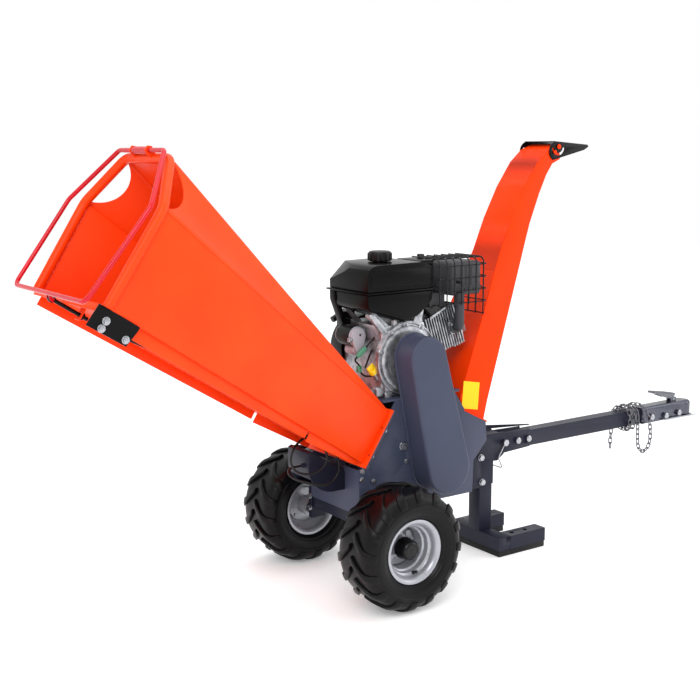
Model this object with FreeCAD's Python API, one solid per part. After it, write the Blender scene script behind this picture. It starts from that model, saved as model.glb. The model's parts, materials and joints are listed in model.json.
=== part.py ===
import FreeCAD, Part
import math
import os
from FreeCAD import Vector as V

# Towable petrol wood chipper, millimetres.
# +X points forward to the tow hitch, +Y to the left, +Z up.
# The origin lies on the ground, midway between the wheels, right under the wheel axis.

os.makedirs("parts", exist_ok=True)

# ---------------------------------------------------------------- driving dimensions
# clearances
fit = 0.05               # radial running clearance of a shaft in its bearing
seat = 0.3               # gap between pieces that are assembled but not welded
weld = 0.2               # gap left for a weld or a gasket
press = 0.02             # radial allowance of a bolt or shaft in a tight hole
swing = 2.0              # room beside a piece that moves

# wheels, 16 x 8 - 7 turf tyres on pressed steel rims
tyre_r = 203.0
tyre_w = 186.0
tread_depth = 10.0
lug_count = 15
track = 594.0            # distance between the wheel centres
rim_seat_r = 89.0
rim_flange_r = 100.0
rim_w = 148.0
rim_t = 3.0
rim_well_r = 70.0        # drop centre of the rim
disc_inset = 13.0        # outer face of the wheel disc, inboard of the wheel centre
hub_r = 31.0
hub_len = 92.0
hub_inset = 24.0         # middle of the hub, inboard of the wheel centre
hub_flange_r = 62.0
hub_flange_t = 7.0
wheel_bolt_pcd = 101.6
wheel_bolt_n = 4
wheel_bolt_r = 6.0
bearing_r = 23.5
bearing_w = 15.0
spindle_r = 12.5
cap_r = 34.0
cap_len = 44.0

# axle
beam_h = 50.0
beam_wall = 4.0
beam_x = -3.0            # centre of the beam
spindle_plate_t = 18.0
spindle_plate_h = 112.0
axle_bolt_zs = (218.0, 260.0)

# rotor housing
sheet = 5.0              # wall of the housing
inner_w = 278.0          # inside width of the housing
rotor_x = 258.0
rotor_z = 404.0
rotor_r = 115.0
rotor_gap = 9.0          # rotor body to housing
rotor_shaft_r = 20.0
rotor_disc_t = 12.0
knife_w = 260.0
knife_t = 8.0
knife_h = 60.0
knife_out = 3.0          # knife edge beyond the rotor body
knife_seat = 102.0       # rotor axis to the flat that a knife lies on
knife_bolt = 8.0
knife_bolt_ys = (-80.0, 0.0, 80.0)
knife_turns = (50.0, 230.0)
bed_gap = 1.5            # rotor knives to the bed knife
bed_knife_len = 46.0
bed_knife_t = 12.0
housing_bottom = 272.0
housing_rear = -52.0
housing_front = 436.0
chute_seat_front = V(495, 0, 518)
chute_seat_rear = V(402, 0, 565)
# bolts through the side plates: x, z and thread
side_bolts = [(50, 548, 8), (-3, 469, 8), (-24, 439, 8), (-40, 421, 8), (-42, 394, 8), (5, 382, 8),
              (127, 485, 14), (143, 430, 8)]

# hopper, measured along its floor (u) and square to it (w)
throat = V(-37, 0, 449)  # lower edge of the throat, on the centre plane
hopper_tilt = 33.0
hopper_len = 1098.0
throat_h = 185.0
throat_half = 150.0
mouth_half = 257.0       # half width at the mouth, at the floor
shoulder_half = 267.0
shoulder_h = 309.0
mouth_h = 467.0
crown_half = 144.0       # half width of the flat top
throat_top_half = 156.0
hopper_sheet = 3.0
flange_t = 6.0
flange_lip = 14.0
rim_tube_r = 15.0
rim_tube_wall = 2.5
rim_bend_r = 55.0
lip_half = 234.0         # half width of the rolled lip under the mouth
corner_y = mouth_half - 3        # outer face of the corner plate
corner_t = 4.0
scallop_depth = 52.0     # hand gap behind the sloping parts of the rim
rail_inset = 11.0        # folded rail under each side of the floor
rail_front_h = 41.0
rail_rear_h = 27.0

# safety stop bar and its linkage
bar_r = 7.0
bar_bend_r = 26.0
# its three levels: distance beyond the mouth, height above the floor, half width
bar_bottom = (hopper_len + 66, -19.0, mouth_half + 8)
bar_shoulder = (hopper_len + 42, shoulder_h - 17, shoulder_half + 19)
bar_top = (hopper_len + 29, mouth_h + 9, crown_half + 6)
bar_lug_y = 52.0
bar_lug_t = 6.0
rod_r = 6.0
rod_w = -28.0
rod_front = hopper_len + 48      # clevis pin, beyond the mouth
rod_len = 124.0
rod_rear = rod_front - rod_len
rod_guide_u = hopper_len - 48
rod_travel = 26.0
clevis_pin_r = 4.0
clevis_play = 2.4

# engine
deck_z = 640.0
deck_t = 8.0
deck_rear = 44.0
deck_front = 372.0
engine_bolt = 10.0
crank_x = 168.0
crank_z = 786.0
crank_r = 15.0
cylinder_tilt = 18.0
cylinder_root = 108.0    # crankshaft to the cylinder's foot
cylinder_end = 282.0     # crankshaft to the end of the head
cylinder_bore_r = 44.0
fin_tall = 74.0
port_out = 92.0          # exhaust flange, from the centre plane
pipe_r = 17.0
case_cover_r = 112.0
case_wall = 8.0
case_rear = 98.0         # crankshaft to the rear of the crankcase
case_front = 100.0
case_top = 100.0
engine_face = -112.0     # pulley side of the crankcase
engine_back = 112.0      # fan side of the crankcase
blower_r = 112.0
blower_w = 66.0
blower_wall = 4.0
recoil_r = 92.0
recoil_w = 34.0
rope_pull = V(-0.45, 0, 0.893)
rope_r = 2.6
starter_r = 34.0
dipstick_y = -84.0
throttle_x = crank_x - 108
throttle_z = crank_z + 119
throttle_pin_r = 3.0
throttle_t = 3.0

# fuel tank
tank_x0 = crank_x - 169
tank_x1 = crank_x + 108
tank_y0 = -120.0
tank_y1 = 100.0
seam_z = crank_z + 214
neck_z = seam_z + 100     # top of the filler neck
filler_x = crank_x - 38
filler_y = -10.0
filler_r = 26.0
cap_top_r = 38.0

# air cleaner, muffler and its wire guard
cleaner_x = crank_x + 214
cleaner_y = 88.0
cleaner_half = 64.0
cleaner_z = crank_z + 168
cleaner_h = 116.0
cleaner_t = 3.0
muffler_x0 = crank_x + 194
muffler_x1 = muffler_x0 + 132
muffler_y0 = -112.0
muffler_y1 = 2.0
muffler_z0 = crank_z + 180
muffler_z1 = muffler_z0 + 116
muffler_t = 2.5
cage_x0 = muffler_x0 - 76
cage_x1 = muffler_x1 + 12
cage_y0 = -137.0
cage_y1 = 14.0
cage_low = crank_z + 152         # foot of the guard's front, and of its right-hand side
cage_side_low = crank_z + 107
cage_z1 = muffler_z1 + 16
cage_wire = 2.2
cage_bend = 22.0

# belt drive
clutch_r = 52.0
pulley_r = 66.0
belt_h = 9.0
belt_w = 15.0
belt_n = 2
belt_pitch_y = 20.0
belt_y = -190.0          # middle of the belts
guard_top_r = 73.0
guard_low_r = 88.0
guard_face = -235.0
guard_sheet = 2.5
guard_edge_r = 9.0
guard_back_t = 4.0
bearing_flange_r = 54.0

# discharge chute
chute_sheet = 3.0
chute_base_half = 130.0
chute_top_half = 73.0
chute_flange_t = 4.0
chute_overhang = 8.0     # flange beyond the seat at either end
chute_bar = 12.0         # width of the flange's front and rear bars
# rear edge, front edge and half width of the chute from its seat to its outlet
chute_rings = [
    (V(402.4, 0, 566), V(495.4, 0, 519), chute_base_half),
    (V(390, 0, 612), V(516, 0, 590), chute_base_half - 3),
    (V(612, 0, 1100), V(705, 0, 1040), chute_top_half),
    (V(662, 0, 1215), V(752, 0, 1196), chute_top_half),
    (V(722, 0, 1325), V(795, 0, 1300), chute_top_half),
    (V(785, 0, 1412), V(829, 0, 1368), chute_top_half),
    (V(836, 0, 1456), V(858, 0, 1408), chute_top_half),
    (V(890, 0, 1477), V(896, 0, 1424), chute_top_half),
]
chute_kink = 2           # ring where the taper ends
deflector_pivot = V(882, 0, 1468)
deflector_t = 3.0
deflector_gap = 1.5      # cheek to the chute's side wall
deflector_pin_r = 5.0
slot_r = 27.0            # crescent slot round the pivot
slot_w = 9.0
slot_from = 195.0        # its ends, degrees from +X towards +Z
slot_to = 345.0
lock_at = 225.0          # clamp bolt in the slot

# stand
post_w = 60.0
post_wall = 4.0
post_x = 601.0           # centre of the post
post_top = 358.0
stub_low = 236.0
stub_top = 376.0
pad_t = 21.0
foot_h = 50.0
foot_half = 140.0
foot_leg_w = 56.0
foot_front = 801.0
foot_hole_r = 8.5
foot_hole_x = (658.0, 723.0)
cheek_bolts = ((569.0, 352.0), (576.0, 259.0))

# tow gear
tow_pin_x = 682.0
tow_pin_z = 393.0
tow_pin_r = 8.0
tow_bar_h = 60.0
tow_bar_w = 50.0
tow_bar_wall = 4.0
tow_bar_z = 388.0        # centre line of the bar
tow_bar_rear = 712.0
tow_bar_front = 1602.0
tow_bolt = 12.0
tow_bolt_z = 390.0
tow_bolt_xs = (752.0, 805.0)
tow_plate_t = 5.0
cheek_t = 6.0
ball_r = 25.4            # 50 mm tow ball with its play
ball_x = 1716.0
coupler_t = 4.0
coupler_rear = 1438.0
coupler_bolts = ((1493.0, 380.0), (1579.0, 375.0), (1659.0, 377.0))
latch_x = 1650.0
latch_z = 432.0
latch_pin_r = 4.0
latch_w = 11.6
chain_wire_r = 2.2
chain_pitch = 20.0
chain_half_w = 6.9       # centre of a link to the centre of its long side
chain_play = 0.48        # half the play between two links

# battery box and the stop switch's cable
battery_half = 62.0
battery_rear = -196.0
battery_low = 345.0
cable_r = 4.0

# ---------------------------------------------------------------- derived places
tilt = math.radians(hopper_tilt)
U = V(-math.cos(tilt), 0, math.sin(tilt))
W = V(math.sin(tilt), 0, math.cos(tilt))
Y = V(0, 1, 0)
side_y = inner_w / 2 + sheet
bed_tip_r = rotor_r + knife_out + bed_gap
cheek_in = post_w / 2 + weld


# ---------------------------------------------------------------- small tools
def hop(u, w, y):
    """Point in the hopper's own directions."""
    return throat + U * u + W * w + Y * y


def box(x0, x1, y0, y1, z0, z1):
    return Part.makeBox(x1 - x0, y1 - y0, z1 - z0, V(x0, y0, z0))


def cyl_y(x, z, r, y0, y1):
    return Part.makeCylinder(r, y1 - y0, V(x, y0, z), V(0, 1, 0))


def cyl_x(y, z, r, x0, x1):
    return Part.makeCylinder(r, x1 - x0, V(x0, y, z), V(1, 0, 0))


def cyl_z(x, y, r, z0, z1):
    return Part.makeCylinder(r, z1 - z0, V(x, y, z0), V(0, 0, 1))


def ring_y(x, z, r_out, r_in, y0, y1):
    return cyl_y(x, z, r_out, y0, y1).cut(cyl_y(x, z, r_in, y0 - 1, y1 + 1))


def polygon(points):
    return Part.Face(Part.makePolygon(list(points) + [points[0]]))


def prism_y(outline, y0, y1):
    """Plate with the given (x, z) outline between two planes across the machine."""
    face = polygon([V(x, y0, z) for x, z in outline])
    return face.extrude(V(0, y1 - y0, 0))


def plate(points, thickness):
    """Flat plate on three-dimensional points, thickened along its own normal."""
    face = polygon(points)
    return face.extrude(face.normalAt(0, 0) * thickness)


def hop_prism(outline, y0, y1):
    """Plate with a (u, w) outline, square to the hopper's width."""
    face = polygon([hop(u, w, y0) for u, w in outline])
    return face.extrude(V(0, y1 - y0, 0))


def union(shapes):
    whole = shapes[0].multiFuse(shapes[1:]) if len(shapes) > 1 else shapes[0]
    return whole.removeSplitter()


def mirror_y(shape):
    return shape.mirror(V(0, 0, 0), V(0, 1, 0))


def pair(shape):
    """The piece and its mirror image on the other side of the machine."""
    return [shape, mirror_y(shape)]


def bent_wire(points, bend_r, closed=False):
    """Straight runs joined by arcs of one radius."""
    n = len(points)
    if closed:
        points = [(points[0] + points[-1]) * 0.5] + list(points)
        points.append(points[0])
        n = len(points)
    edges = []
    start = points[0]
    for i in range(1, n - 1):
        before = (points[i - 1] - points[i]).normalize()
        after = (points[i + 1] - points[i]).normalize()
        half = before.getAngle(after) / 2
        cut = bend_r / math.tan(half)
        enter = points[i] + before * cut
        leave = points[i] + after * cut
        inward = (before + after).normalize()
        middle = points[i] + inward * (bend_r / math.sin(half) - bend_r)
        edges.append(Part.LineSegment(start, enter).toShape())
        edges.append(Part.Arc(enter, middle, leave).toShape())
        start = leave
    edges.append(Part.LineSegment(start, points[-1]).toShape())
    return Part.Wire(edges)


def sweep_round(wire, radius):
    """Round bar along a wire."""
    first = wire.Edges[0]
    start = first.valueAt(first.FirstParameter)
    heading = first.tangentAt(first.FirstParameter)
    section = Part.Wire(Part.makeCircle(radius, start, heading))
    shell = wire.makePipeShell([section], True, False)
    return shell


def drill(shape, foot, direction, size, depth):
    """Bolt hole into a surface, along a bolt that stands on it."""
    axis = V(direction).normalize()
    return shape.cut(Part.makeCylinder(size / 2 + press, depth, foot, axis * -1))


def bolt(foot, direction, size, grip):
    """Hexagon bolt standing on a surface: washer and head above it, shank below."""
    axis = V(direction).normalize()
    washer = Part.makeCylinder(size * 1.05, size * 0.16, foot, axis)
    shank = Part.makeCylinder(size / 2, grip, foot - axis * grip, axis)
    side = axis.cross(V(0, 0, 1))
    if side.Length < 0.1:
        side = axis.cross(V(1, 0, 0))
    side.normalize()
    up = axis.cross(side)
    base = foot + axis * size * 0.16
    ring = []
    for i in range(6):
        a = math.radians(60 * i)
        ring.append(base + (side * math.cos(a) + up * math.sin(a)) * size * 0.95)
    hexagon = polygon(ring).extrude(axis * size * 0.65)
    return union([washer, shank, hexagon])


def revolve_y(outline, x=0.0, z=0.0):
    """Solid turned about an axis along the machine's width, outline as (radius, y)."""
    face = polygon([V(x + r, y, z) for r, y in outline])
    return face.revolve(V(x, 0, z), V(0, 1, 0), 360)


def save(node, *shapes):
    flat = []
    for shape in shapes:
        flat.extend(shape.Solids)
    for solid in flat:
        if not solid.isValid():
            print("invalid solid in", node)
    Part.makeCompound(flat).exportStep("parts/" + node + ".step")
    print("%-22s %2d solids %12.0f mm3" % (node, len(flat), sum(s.Volume for s in flat)))


# ---------------------------------------------------------------- wheels
def make_tyre(side):
    """Hollow tyre with chevron lugs; side is +1 left, -1 right."""
    half = tyre_w / 2
    body_r = tyre_r - tread_depth
    bead = rim_w / 2 - 14
    outer = [(rim_seat_r + seat, -bead), (rim_flange_r + 6, -bead - 12), (135, -half), (165, -half),
             (body_r - 12, -half + 8), (body_r, -half + 30), (body_r, half - 30),
             (body_r - 12, half - 8), (165, half), (135, half), (rim_flange_r + 6, bead + 12),
             (rim_seat_r + seat, bead), (rim_seat_r + seat, bead - 14), (130, half - 14),
             (165, half - 14), (body_r - 16, half - 32), (body_r - 16, -half + 32),
             (165, -half + 14), (130, -half + 14), (rim_seat_r + seat, -bead + 14)]
    carcass = revolve_y(outer)
    band = ring_y(0, 0, tyre_r, body_r - 2, -half + 4, half - 4)
    lugs = []
    step = 360.0 / lug_count
    for hand in (1, -1):
        foot = [V(-8, hand * 6, 0), V(26, hand * 6, 0), V(-12, hand * (half - 4), 0),
                V(-40, hand * (half - 4), 0)]
        slab = polygon(foot).extrude(V(0, 0, tyre_r + 5))
        lug = slab.common(band)
        for i in range(lug_count):
            copy = lug.copy()
            copy.rotate(V(0, 0, 0), V(0, 1, 0), step * (i + (0.5 if hand > 0 else 0.0)))
            lugs.append(copy)
    tyre = carcass.multiFuse(lugs)
    tyre.translate(V(0, side * track / 2, tyre_r))
    return tyre


def make_rim():
    """Pressed rim with a drop centre and an inset disc, outboard towards -Y."""
    half = rim_w / 2
    t = rim_t
    barrel = [(rim_flange_r, -half), (rim_flange_r, -half + t), (rim_seat_r, -half + t + 3),
              (rim_seat_r, -half + 26), (rim_well_r, -half + 40), (rim_well_r, half - 46),
              (rim_seat_r, half - 30), (rim_seat_r, half - t - 3), (rim_flange_r, half - t),
              (rim_flange_r, half), (rim_seat_r - t, half - 2), (rim_seat_r - t, half - 31),
              (rim_well_r - t, half - 47), (rim_well_r - t, -half + 41),
              (rim_seat_r - t, -half + 27), (rim_seat_r - t, -half + 2)]
    rim = revolve_y(barrel)
    disc = ring_y(0, 0, rim_well_r - 1, hub_r + seat, disc_inset, disc_inset + t)
    rim = rim.fuse(disc).removeSplitter()
    for i in range(wheel_bolt_n):
        a = math.radians(45 + 360.0 / wheel_bolt_n * i)
        x = wheel_bolt_pcd / 2 * math.cos(a)
        z = wheel_bolt_pcd / 2 * math.sin(a)
        rim = rim.cut(cyl_y(x, z, wheel_bolt_r + seat, disc_inset - 1, disc_inset + t + 1))
    return rim


def make_hub():
    """Hub barrel with flange, two bearings and four wheel bolts."""
    seat_y = disc_inset + rim_t
    outer_y = hub_inset - hub_len / 2
    inner_y = hub_inset + hub_len / 2
    flange = cyl_y(0, 0, hub_flange_r, seat_y, seat_y + hub_flange_t)
    barrel = cyl_y(0, 0, hub_r, outer_y, inner_y)
    hub = barrel.fuse(flange)
    hub = hub.cut(cyl_y(0, 0, bearing_r - 3, outer_y - 1, inner_y + 1))
    ends = (outer_y, inner_y - bearing_w)
    bearings = []
    for y0 in ends:
        hub = hub.cut(cyl_y(0, 0, bearing_r, y0 - 0.01, y0 + bearing_w + 0.01))
        bearings.append(ring_y(0, 0, bearing_r - 0.02, spindle_r + fit, y0, y0 + bearing_w))
    pieces = [hub] + bearings
    for i in range(wheel_bolt_n):
        a = math.radians(45 + 360.0 / wheel_bolt_n * i)
        x = wheel_bolt_pcd / 2 * math.cos(a)
        z = wheel_bolt_pcd / 2 * math.sin(a)
        pieces[0] = pieces[0].cut(cyl_y(x, z, wheel_bolt_r + 0.02, seat_y - 1, seat_y + hub_flange_t + 1))
        foot = V(x, disc_inset, z)
        pieces.append(bolt(foot, V(0, -1, 0), 2 * wheel_bolt_r, rim_t + hub_flange_t + 4))
    return Part.makeCompound([s for p in pieces for s in p.Solids])


def make_hub_cap():
    """Domed plastic cap over the spindle nut."""
    y0 = hub_inset - hub_len / 2 - seat
    outline = [(cap_r, y0 + 8), (cap_r, y0 - cap_len + 8), (cap_r - 7, y0 - cap_len), (0, y0 - cap_len),
               (0, y0 - cap_len + 3), (cap_r - 8.5, y0 - cap_len + 3),
               (cap_r - 2.6, y0 - cap_len + 9.5), (cap_r - 2.6, y0 + 8)]
    return revolve_y(outline)


def place_wheel(shape, side):
    """Wheel pieces are drawn for the right wheel, outboard towards -Y."""
    piece = shape.copy() if side < 0 else mirror_y(shape)
    piece.translate(V(0, side * track / 2, tyre_r))
    return piece


# ---------------------------------------------------------------- axle
def make_axle_beam():
    half = track / 2 - rim_w / 2 - spindle_plate_t - 33
    x0 = beam_x - beam_h / 2
    z1 = housing_bottom
    z0 = z1 - beam_h
    outer = box(x0, x0 + beam_h, -half, half, z0, z1)
    inner = box(x0 + beam_wall, x0 + beam_h - beam_wall, -half - 1, half + 1,
                z0 + beam_wall, z1 - beam_wall)
    return outer.cut(inner), half


def make_spindle(beam_half):
    """Right spindle with its bracket plate, drawn towards -Y."""
    y1 = -beam_half
    y0 = y1 - spindle_plate_t
    z0 = tyre_r - 22
    x0 = beam_x - beam_h / 2 - 4
    bracket = box(x0, x0 + beam_h + 8, y0, y1, z0, z0 + spindle_plate_h)
    for z in axle_bolt_zs:
        bracket = drill(bracket, V(x0, (y0 + y1) / 2, z), V(-1, 0, 0), 10, 15)
    tip = -track / 2 + hub_inset - hub_len / 2
    shaft = cyl_y(0, tyre_r, spindle_r, tip - 14, y0 + 1)
    collar = cyl_y(0, tyre_r, spindle_r + 8, -track / 2 + hub_inset + hub_len / 2 + seat, y0 + 1)
    nut = cyl_y(0, tyre_r, spindle_r + 7, tip - 13, tip - seat)
    return union([bracket, shaft, collar, nut])


# ---------------------------------------------------------------- rotor housing
def throat_edge(w):
    """Point of the housing's rear edge, right behind the throat collar."""
    p = hop(-flange_t - 0.5, w, 0)
    return p.x, p.z


def make_housing_sides():
    """Two side plates with the rotor bearing holes."""
    top = deck_z
    rise = (top - throat_edge(0)[1]) / math.cos(tilt)
    along = (chute_seat_front - chute_seat_rear).normalize()
    step = chute_seat_rear - along * (chute_overhang + 1)
    above = step + V(-along.z, 0, along.x) * (chute_flange_t + 2)
    outline = [(housing_rear, housing_bottom), (housing_rear, throat_edge(-14)[1] - 6), throat_edge(-14),
               throat_edge(rise), (352, top), (above.x, above.z), (step.x, step.z),
               (chute_seat_front.x, chute_seat_front.z), (500, 449), (440, 385),
               (housing_front, housing_bottom)]
    right = prism_y(outline, -side_y, -inner_w / 2)
    right = right.cut(cyl_y(rotor_x, rotor_z, rotor_shaft_r + 14, -side_y - 1, side_y))
    for x, z, size in side_bolts:
        right = drill(right, V(x, -side_y, z), V(0, -1, 0), size, sheet)
    return pair(right)


def rolled(edges, y_half):
    """Sheet bent along edges in the centre plane, thickened to the left of its path."""
    wire = Part.Wire([e.toShape() for e in edges])
    strip = wire.makeOffset2D(sheet, 0, True, True, False)
    strip.translate(V(0, -y_half, 0))
    return strip.extrude(V(0, 2 * y_half, 0))


def on_circle(radius, degrees):
    a = math.radians(degrees)
    return V(rotor_x + radius * math.cos(a), 0, rotor_z + radius * math.sin(a))


def make_housing_shell():
    """Rolled scroll, cover over the rotor, feed floor, rear and front walls and throat collar."""
    half = inner_w / 2
    r = rotor_r + rotor_gap + sheet
    knife_rear = on_circle(r, 196)
    low = on_circle(r, 270)
    belly = V(372, 0, 316)
    front = V(housing_front - 6, 0, 420)
    scroll = rolled([Part.Arc(knife_rear, on_circle(r, 230), low), Part.Arc(low, belly, front),
                     Part.LineSegment(front, V(chute_seat_front.x - 4, 0, chute_seat_front.z - 2))], half)
    roof_rear = hop(-flange_t - 8, throat_h + 2, 0)
    roof = rolled([Part.LineSegment(roof_rear, on_circle(r, 138)),
                   Part.Arc(on_circle(r, 138), on_circle(r, 92), on_circle(r, 48)),
                   Part.LineSegment(on_circle(r, 48), chute_seat_rear - V(0, 0, 6))], half)
    floor_rear = hop(-flange_t - 8, -2, 0)
    floor_end = on_circle(bed_tip_r + bed_knife_len + seat, 180) + V(0, 0, 0.5)
    down = (floor_rear - floor_end).cross(Y).normalize() * sheet
    floor = polygon([p - Y * half for p in (floor_end, floor_rear, floor_rear + down, floor_end + down)])
    floor = floor.extrude(Y * (2 * half))
    wall_top = throat_edge(-14)[1] - 8
    back = box(housing_rear, housing_rear + sheet, -half, half, housing_bottom, wall_top)
    front_wall = box(housing_front - sheet, housing_front, -half, half, housing_bottom, stub_top + 9)
    collar = throat_ring(-flange_t - 0.5, -0.5)
    return [scroll, roof, floor, back, front_wall, collar]


def throat_ring(u0, u1):
    """Flat rectangular ring square to the hopper floor."""
    lip = flange_lip
    top = throat_h + lip
    edge = throat_top_half + lip
    opening = throat_half - 6
    outline = [hop(u0, -lip, -edge), hop(u0, top, -edge), hop(u0, top, edge), hop(u0, -lip, edge)]
    gap = [hop(u0, 3, -opening), hop(u0, throat_h - 4, -opening), hop(u0, throat_h - 4, opening),
           hop(u0, 3, opening)]
    ring = polygon(outline).extrude(U * (u1 - u0))
    return ring.cut(polygon(gap).extrude(U * (u1 - u0)))


def make_bed_knife():
    """Fixed counter knife bolted from below on a block welded between the side plates."""
    tip = on_circle(bed_tip_r, 180)
    base = tip.z - bed_knife_t
    block = box(tip.x - 42, tip.x - 6, -inner_w / 2, inner_w / 2, base - 34, base - weld)
    knife = box(tip.x - bed_knife_len, tip.x, -knife_w / 2, knife_w / 2, base, tip.z)
    bolts = []
    for y in (-90, 0, 90):
        foot = V(tip.x - 26, y, base - 34)
        block = drill(block, foot, V(0, 0, -1), knife_bolt, 34)
        knife = drill(knife, foot, V(0, 0, -1), knife_bolt, 34 + 8)
        bolts.append(bolt(foot, V(0, 0, -1), knife_bolt, 34 + 8))
    return [block, knife] + bolts


def make_deck():
    """Engine deck bridging the side plates."""
    deck = box(deck_rear, deck_front, -side_y, side_y, deck_z, deck_z + deck_t)
    for x, y in engine_feet():
        deck = drill(deck, V(x, y, deck_z + deck_t), V(0, 0, 1), engine_bolt, deck_t)
    return deck


# ---------------------------------------------------------------- rotor
def make_rotor():
    """Knife drum: two end discs, a closed skin and seats for two knives."""
    length = knife_w + 2
    drum = cyl_y(rotor_x, rotor_z, rotor_r, -length / 2, length / 2)
    hollow = ring_y(rotor_x, rotor_z, rotor_r - 14, rotor_shaft_r + 16,
                    -length / 2 + rotor_disc_t, length / 2 - rotor_disc_t)
    drum = drum.cut(hollow)
    drum = drum.cut(cyl_y(rotor_x, rotor_z, rotor_shaft_r + 0.02, -length, length))
    heel = knife_heel()
    seat_cut = box(rotor_x - rotor_r, rotor_x + heel + seat, -length, length,
                   rotor_z + knife_seat, rotor_z + rotor_r + 5)
    for y in knife_bolt_ys:
        foot = V(rotor_x + heel - knife_h / 2, y, rotor_z + knife_seat)
        drum = drill_pair(drum, foot, 12)
    for turn in knife_turns:
        pocket = seat_cut.copy()
        pocket.rotate(V(rotor_x, 0, rotor_z), V(0, 1, 0), turn)
        drum = drum.cut(pocket)
    return drum


def knife_heel():
    """Rotor centre line to a knife's heel, so that its edge stands out of the drum."""
    edge_r = rotor_r + knife_out
    return knife_h - math.sqrt(edge_r ** 2 - (knife_seat + knife_t) ** 2)


def drill_pair(drum, foot, depth):
    """The same threaded hole under both knives."""
    for turn in knife_turns:
        hole = Part.makeCylinder(knife_bolt / 2 + press, depth, foot, V(0, 0, -1))
        hole.rotate(V(rotor_x, 0, rotor_z), V(0, 1, 0), turn)
        drum = drum.cut(hole)
    return drum


def make_knives():
    """Two knives bolted on the drum's flats, their edges leading."""
    base = rotor_z + knife_seat
    heel = rotor_x + knife_heel()
    blade = box(heel - knife_h, heel, -knife_w / 2, knife_w / 2, base, base + knife_t)
    bolts = []
    for y in knife_bolt_ys:
        foot = V(heel - knife_h / 2, y, base + knife_t)
        blade = drill(blade, foot, V(0, 0, 1), knife_bolt, knife_t)
        bolts.append(bolt(foot, V(0, 0, 1), knife_bolt, knife_t + 10))
    pieces = []
    for turn in knife_turns:
        for piece in [blade] + bolts:
            copy = piece.copy()
            copy.rotate(V(rotor_x, 0, rotor_z), V(0, 1, 0), turn)
            pieces.append(copy)
    return pieces


def make_rotor_shaft():
    end = guard_face + 12
    shaft = cyl_y(rotor_x, rotor_z, rotor_shaft_r, end, side_y + 34)
    return shaft


def make_bearings():
    """Flange bearings outside both side plates."""
    pieces = []
    for side in (-1, 1):
        y0, y1 = sorted((side * side_y, side * (side_y + 12)))
        flange = cyl_y(rotor_x, rotor_z, bearing_flange_r, y0, y1)
        y2, y3 = sorted((side * side_y, side * (side_y + 24)))
        nose = cyl_y(rotor_x, rotor_z, 36, y2, y3)
        unit = flange.fuse(nose).cut(cyl_y(rotor_x, rotor_z, rotor_shaft_r + fit, -400, 400))
        pieces.append(unit.removeSplitter())
    return pieces


def grooved_pulley(x, z, radius, bore, hub_r_out):
    """V-belt pulley with one groove for each belt."""
    half = belt_n * belt_pitch_y / 2
    body = cyl_y(x, z, radius, belt_y - half, belt_y + half)
    hub = cyl_y(x, z, hub_r_out, belt_y - half - 8, belt_y + half + 2)
    body = body.fuse(hub)
    for i in range(belt_n):
        middle = belt_y + (i - (belt_n - 1) / 2) * belt_pitch_y
        groove = [(radius - belt_h - 1, middle - 5), (radius + 1, middle - belt_w / 2 - 0.6),
                  (radius + 1, middle + belt_w / 2 + 0.6), (radius - belt_h - 1, middle + 5)]
        body = body.cut(revolve_y(groove, x, z))
    return body.cut(cyl_y(x, z, bore + 0.02, -400, 0)).removeSplitter()


def make_belts():
    """V-belts lying in both pulleys' grooves."""
    belts = []
    dx = rotor_x - crank_x
    dz = rotor_z - crank_z
    reach = math.hypot(dx, dz)
    heading = math.degrees(math.atan2(dz, dx))
    for i in range(belt_n):
        middle = belt_y + (i - (belt_n - 1) / 2) * belt_pitch_y
        loops = []
        for grow in (0.0, -belt_h + 0.5):
            r1 = clutch_r + grow
            r2 = pulley_r + grow
            lean = math.asin((r2 - r1) / reach)
            loops.append(belt_loop(r1, r2, reach, lean, middle - belt_w / 2 + 2.2))
        solid = Part.Face(loops[0]).cut(Part.Face(loops[1])).extrude(V(0, belt_w - 4.4, 0))
        solid.rotate(V(0, 0, 0), V(0, 1, 0), -heading)
        solid.translate(V(crank_x, 0, crank_z))
        belts.append(solid)
    return belts


def belt_loop(r1, r2, reach, lean, y):
    """Outline round two circles, the first at the origin and the second along +X."""
    def at(cx, r, a):
        return V(cx + r * math.cos(a), y, r * math.sin(a))
    up = math.pi / 2 + lean
    top1 = at(0, r1, up)
    low1 = at(0, r1, -up)
    top2 = at(reach, r2, up)
    low2 = at(reach, r2, -up)
    far1 = at(0, r1, math.pi)
    far2 = at(reach, r2, 0)
    edges = [Part.LineSegment(top1, top2), Part.Arc(top2, far2, low2), Part.LineSegment(low2, low1),
             Part.Arc(low1, far1, top1)]
    return Part.Wire([e.toShape() for e in edges])


def guard_outline(shrink, y):
    """Racetrack round both pulleys, narrow at the engine and wide at the rotor."""
    dx = rotor_x - crank_x
    dz = rotor_z - crank_z
    reach = math.hypot(dx, dz)
    r1 = guard_top_r - shrink
    r2 = guard_low_r - shrink
    lean = math.asin((r2 - r1) / reach)
    wire = belt_loop(r1, r2, reach, lean, y)
    wire.rotate(V(0, 0, 0), V(0, 1, 0), -math.degrees(math.atan2(dz, dx)))
    wire.translate(V(crank_x, 0, crank_z))
    return wire


def make_guard_cover():
    """Pressed cover with a rounded front edge."""
    back = -side_y - guard_back_t - weld
    outer = guard_block(0, guard_face, back, guard_edge_r)
    return outer.cut(guard_block(guard_sheet, guard_face + guard_sheet, back + 1, guard_edge_r - guard_sheet))


def guard_block(shrink, y0, y1, edge_r):
    block = Part.Face(guard_outline(shrink, y0)).extrude(V(0, y1 - y0, 0))
    front = [e for e in block.Edges if abs(e.BoundBox.YMin - y0) < 0.1 and e.BoundBox.YLength < 0.1]
    return block.makeFillet(edge_r, front)


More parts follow.
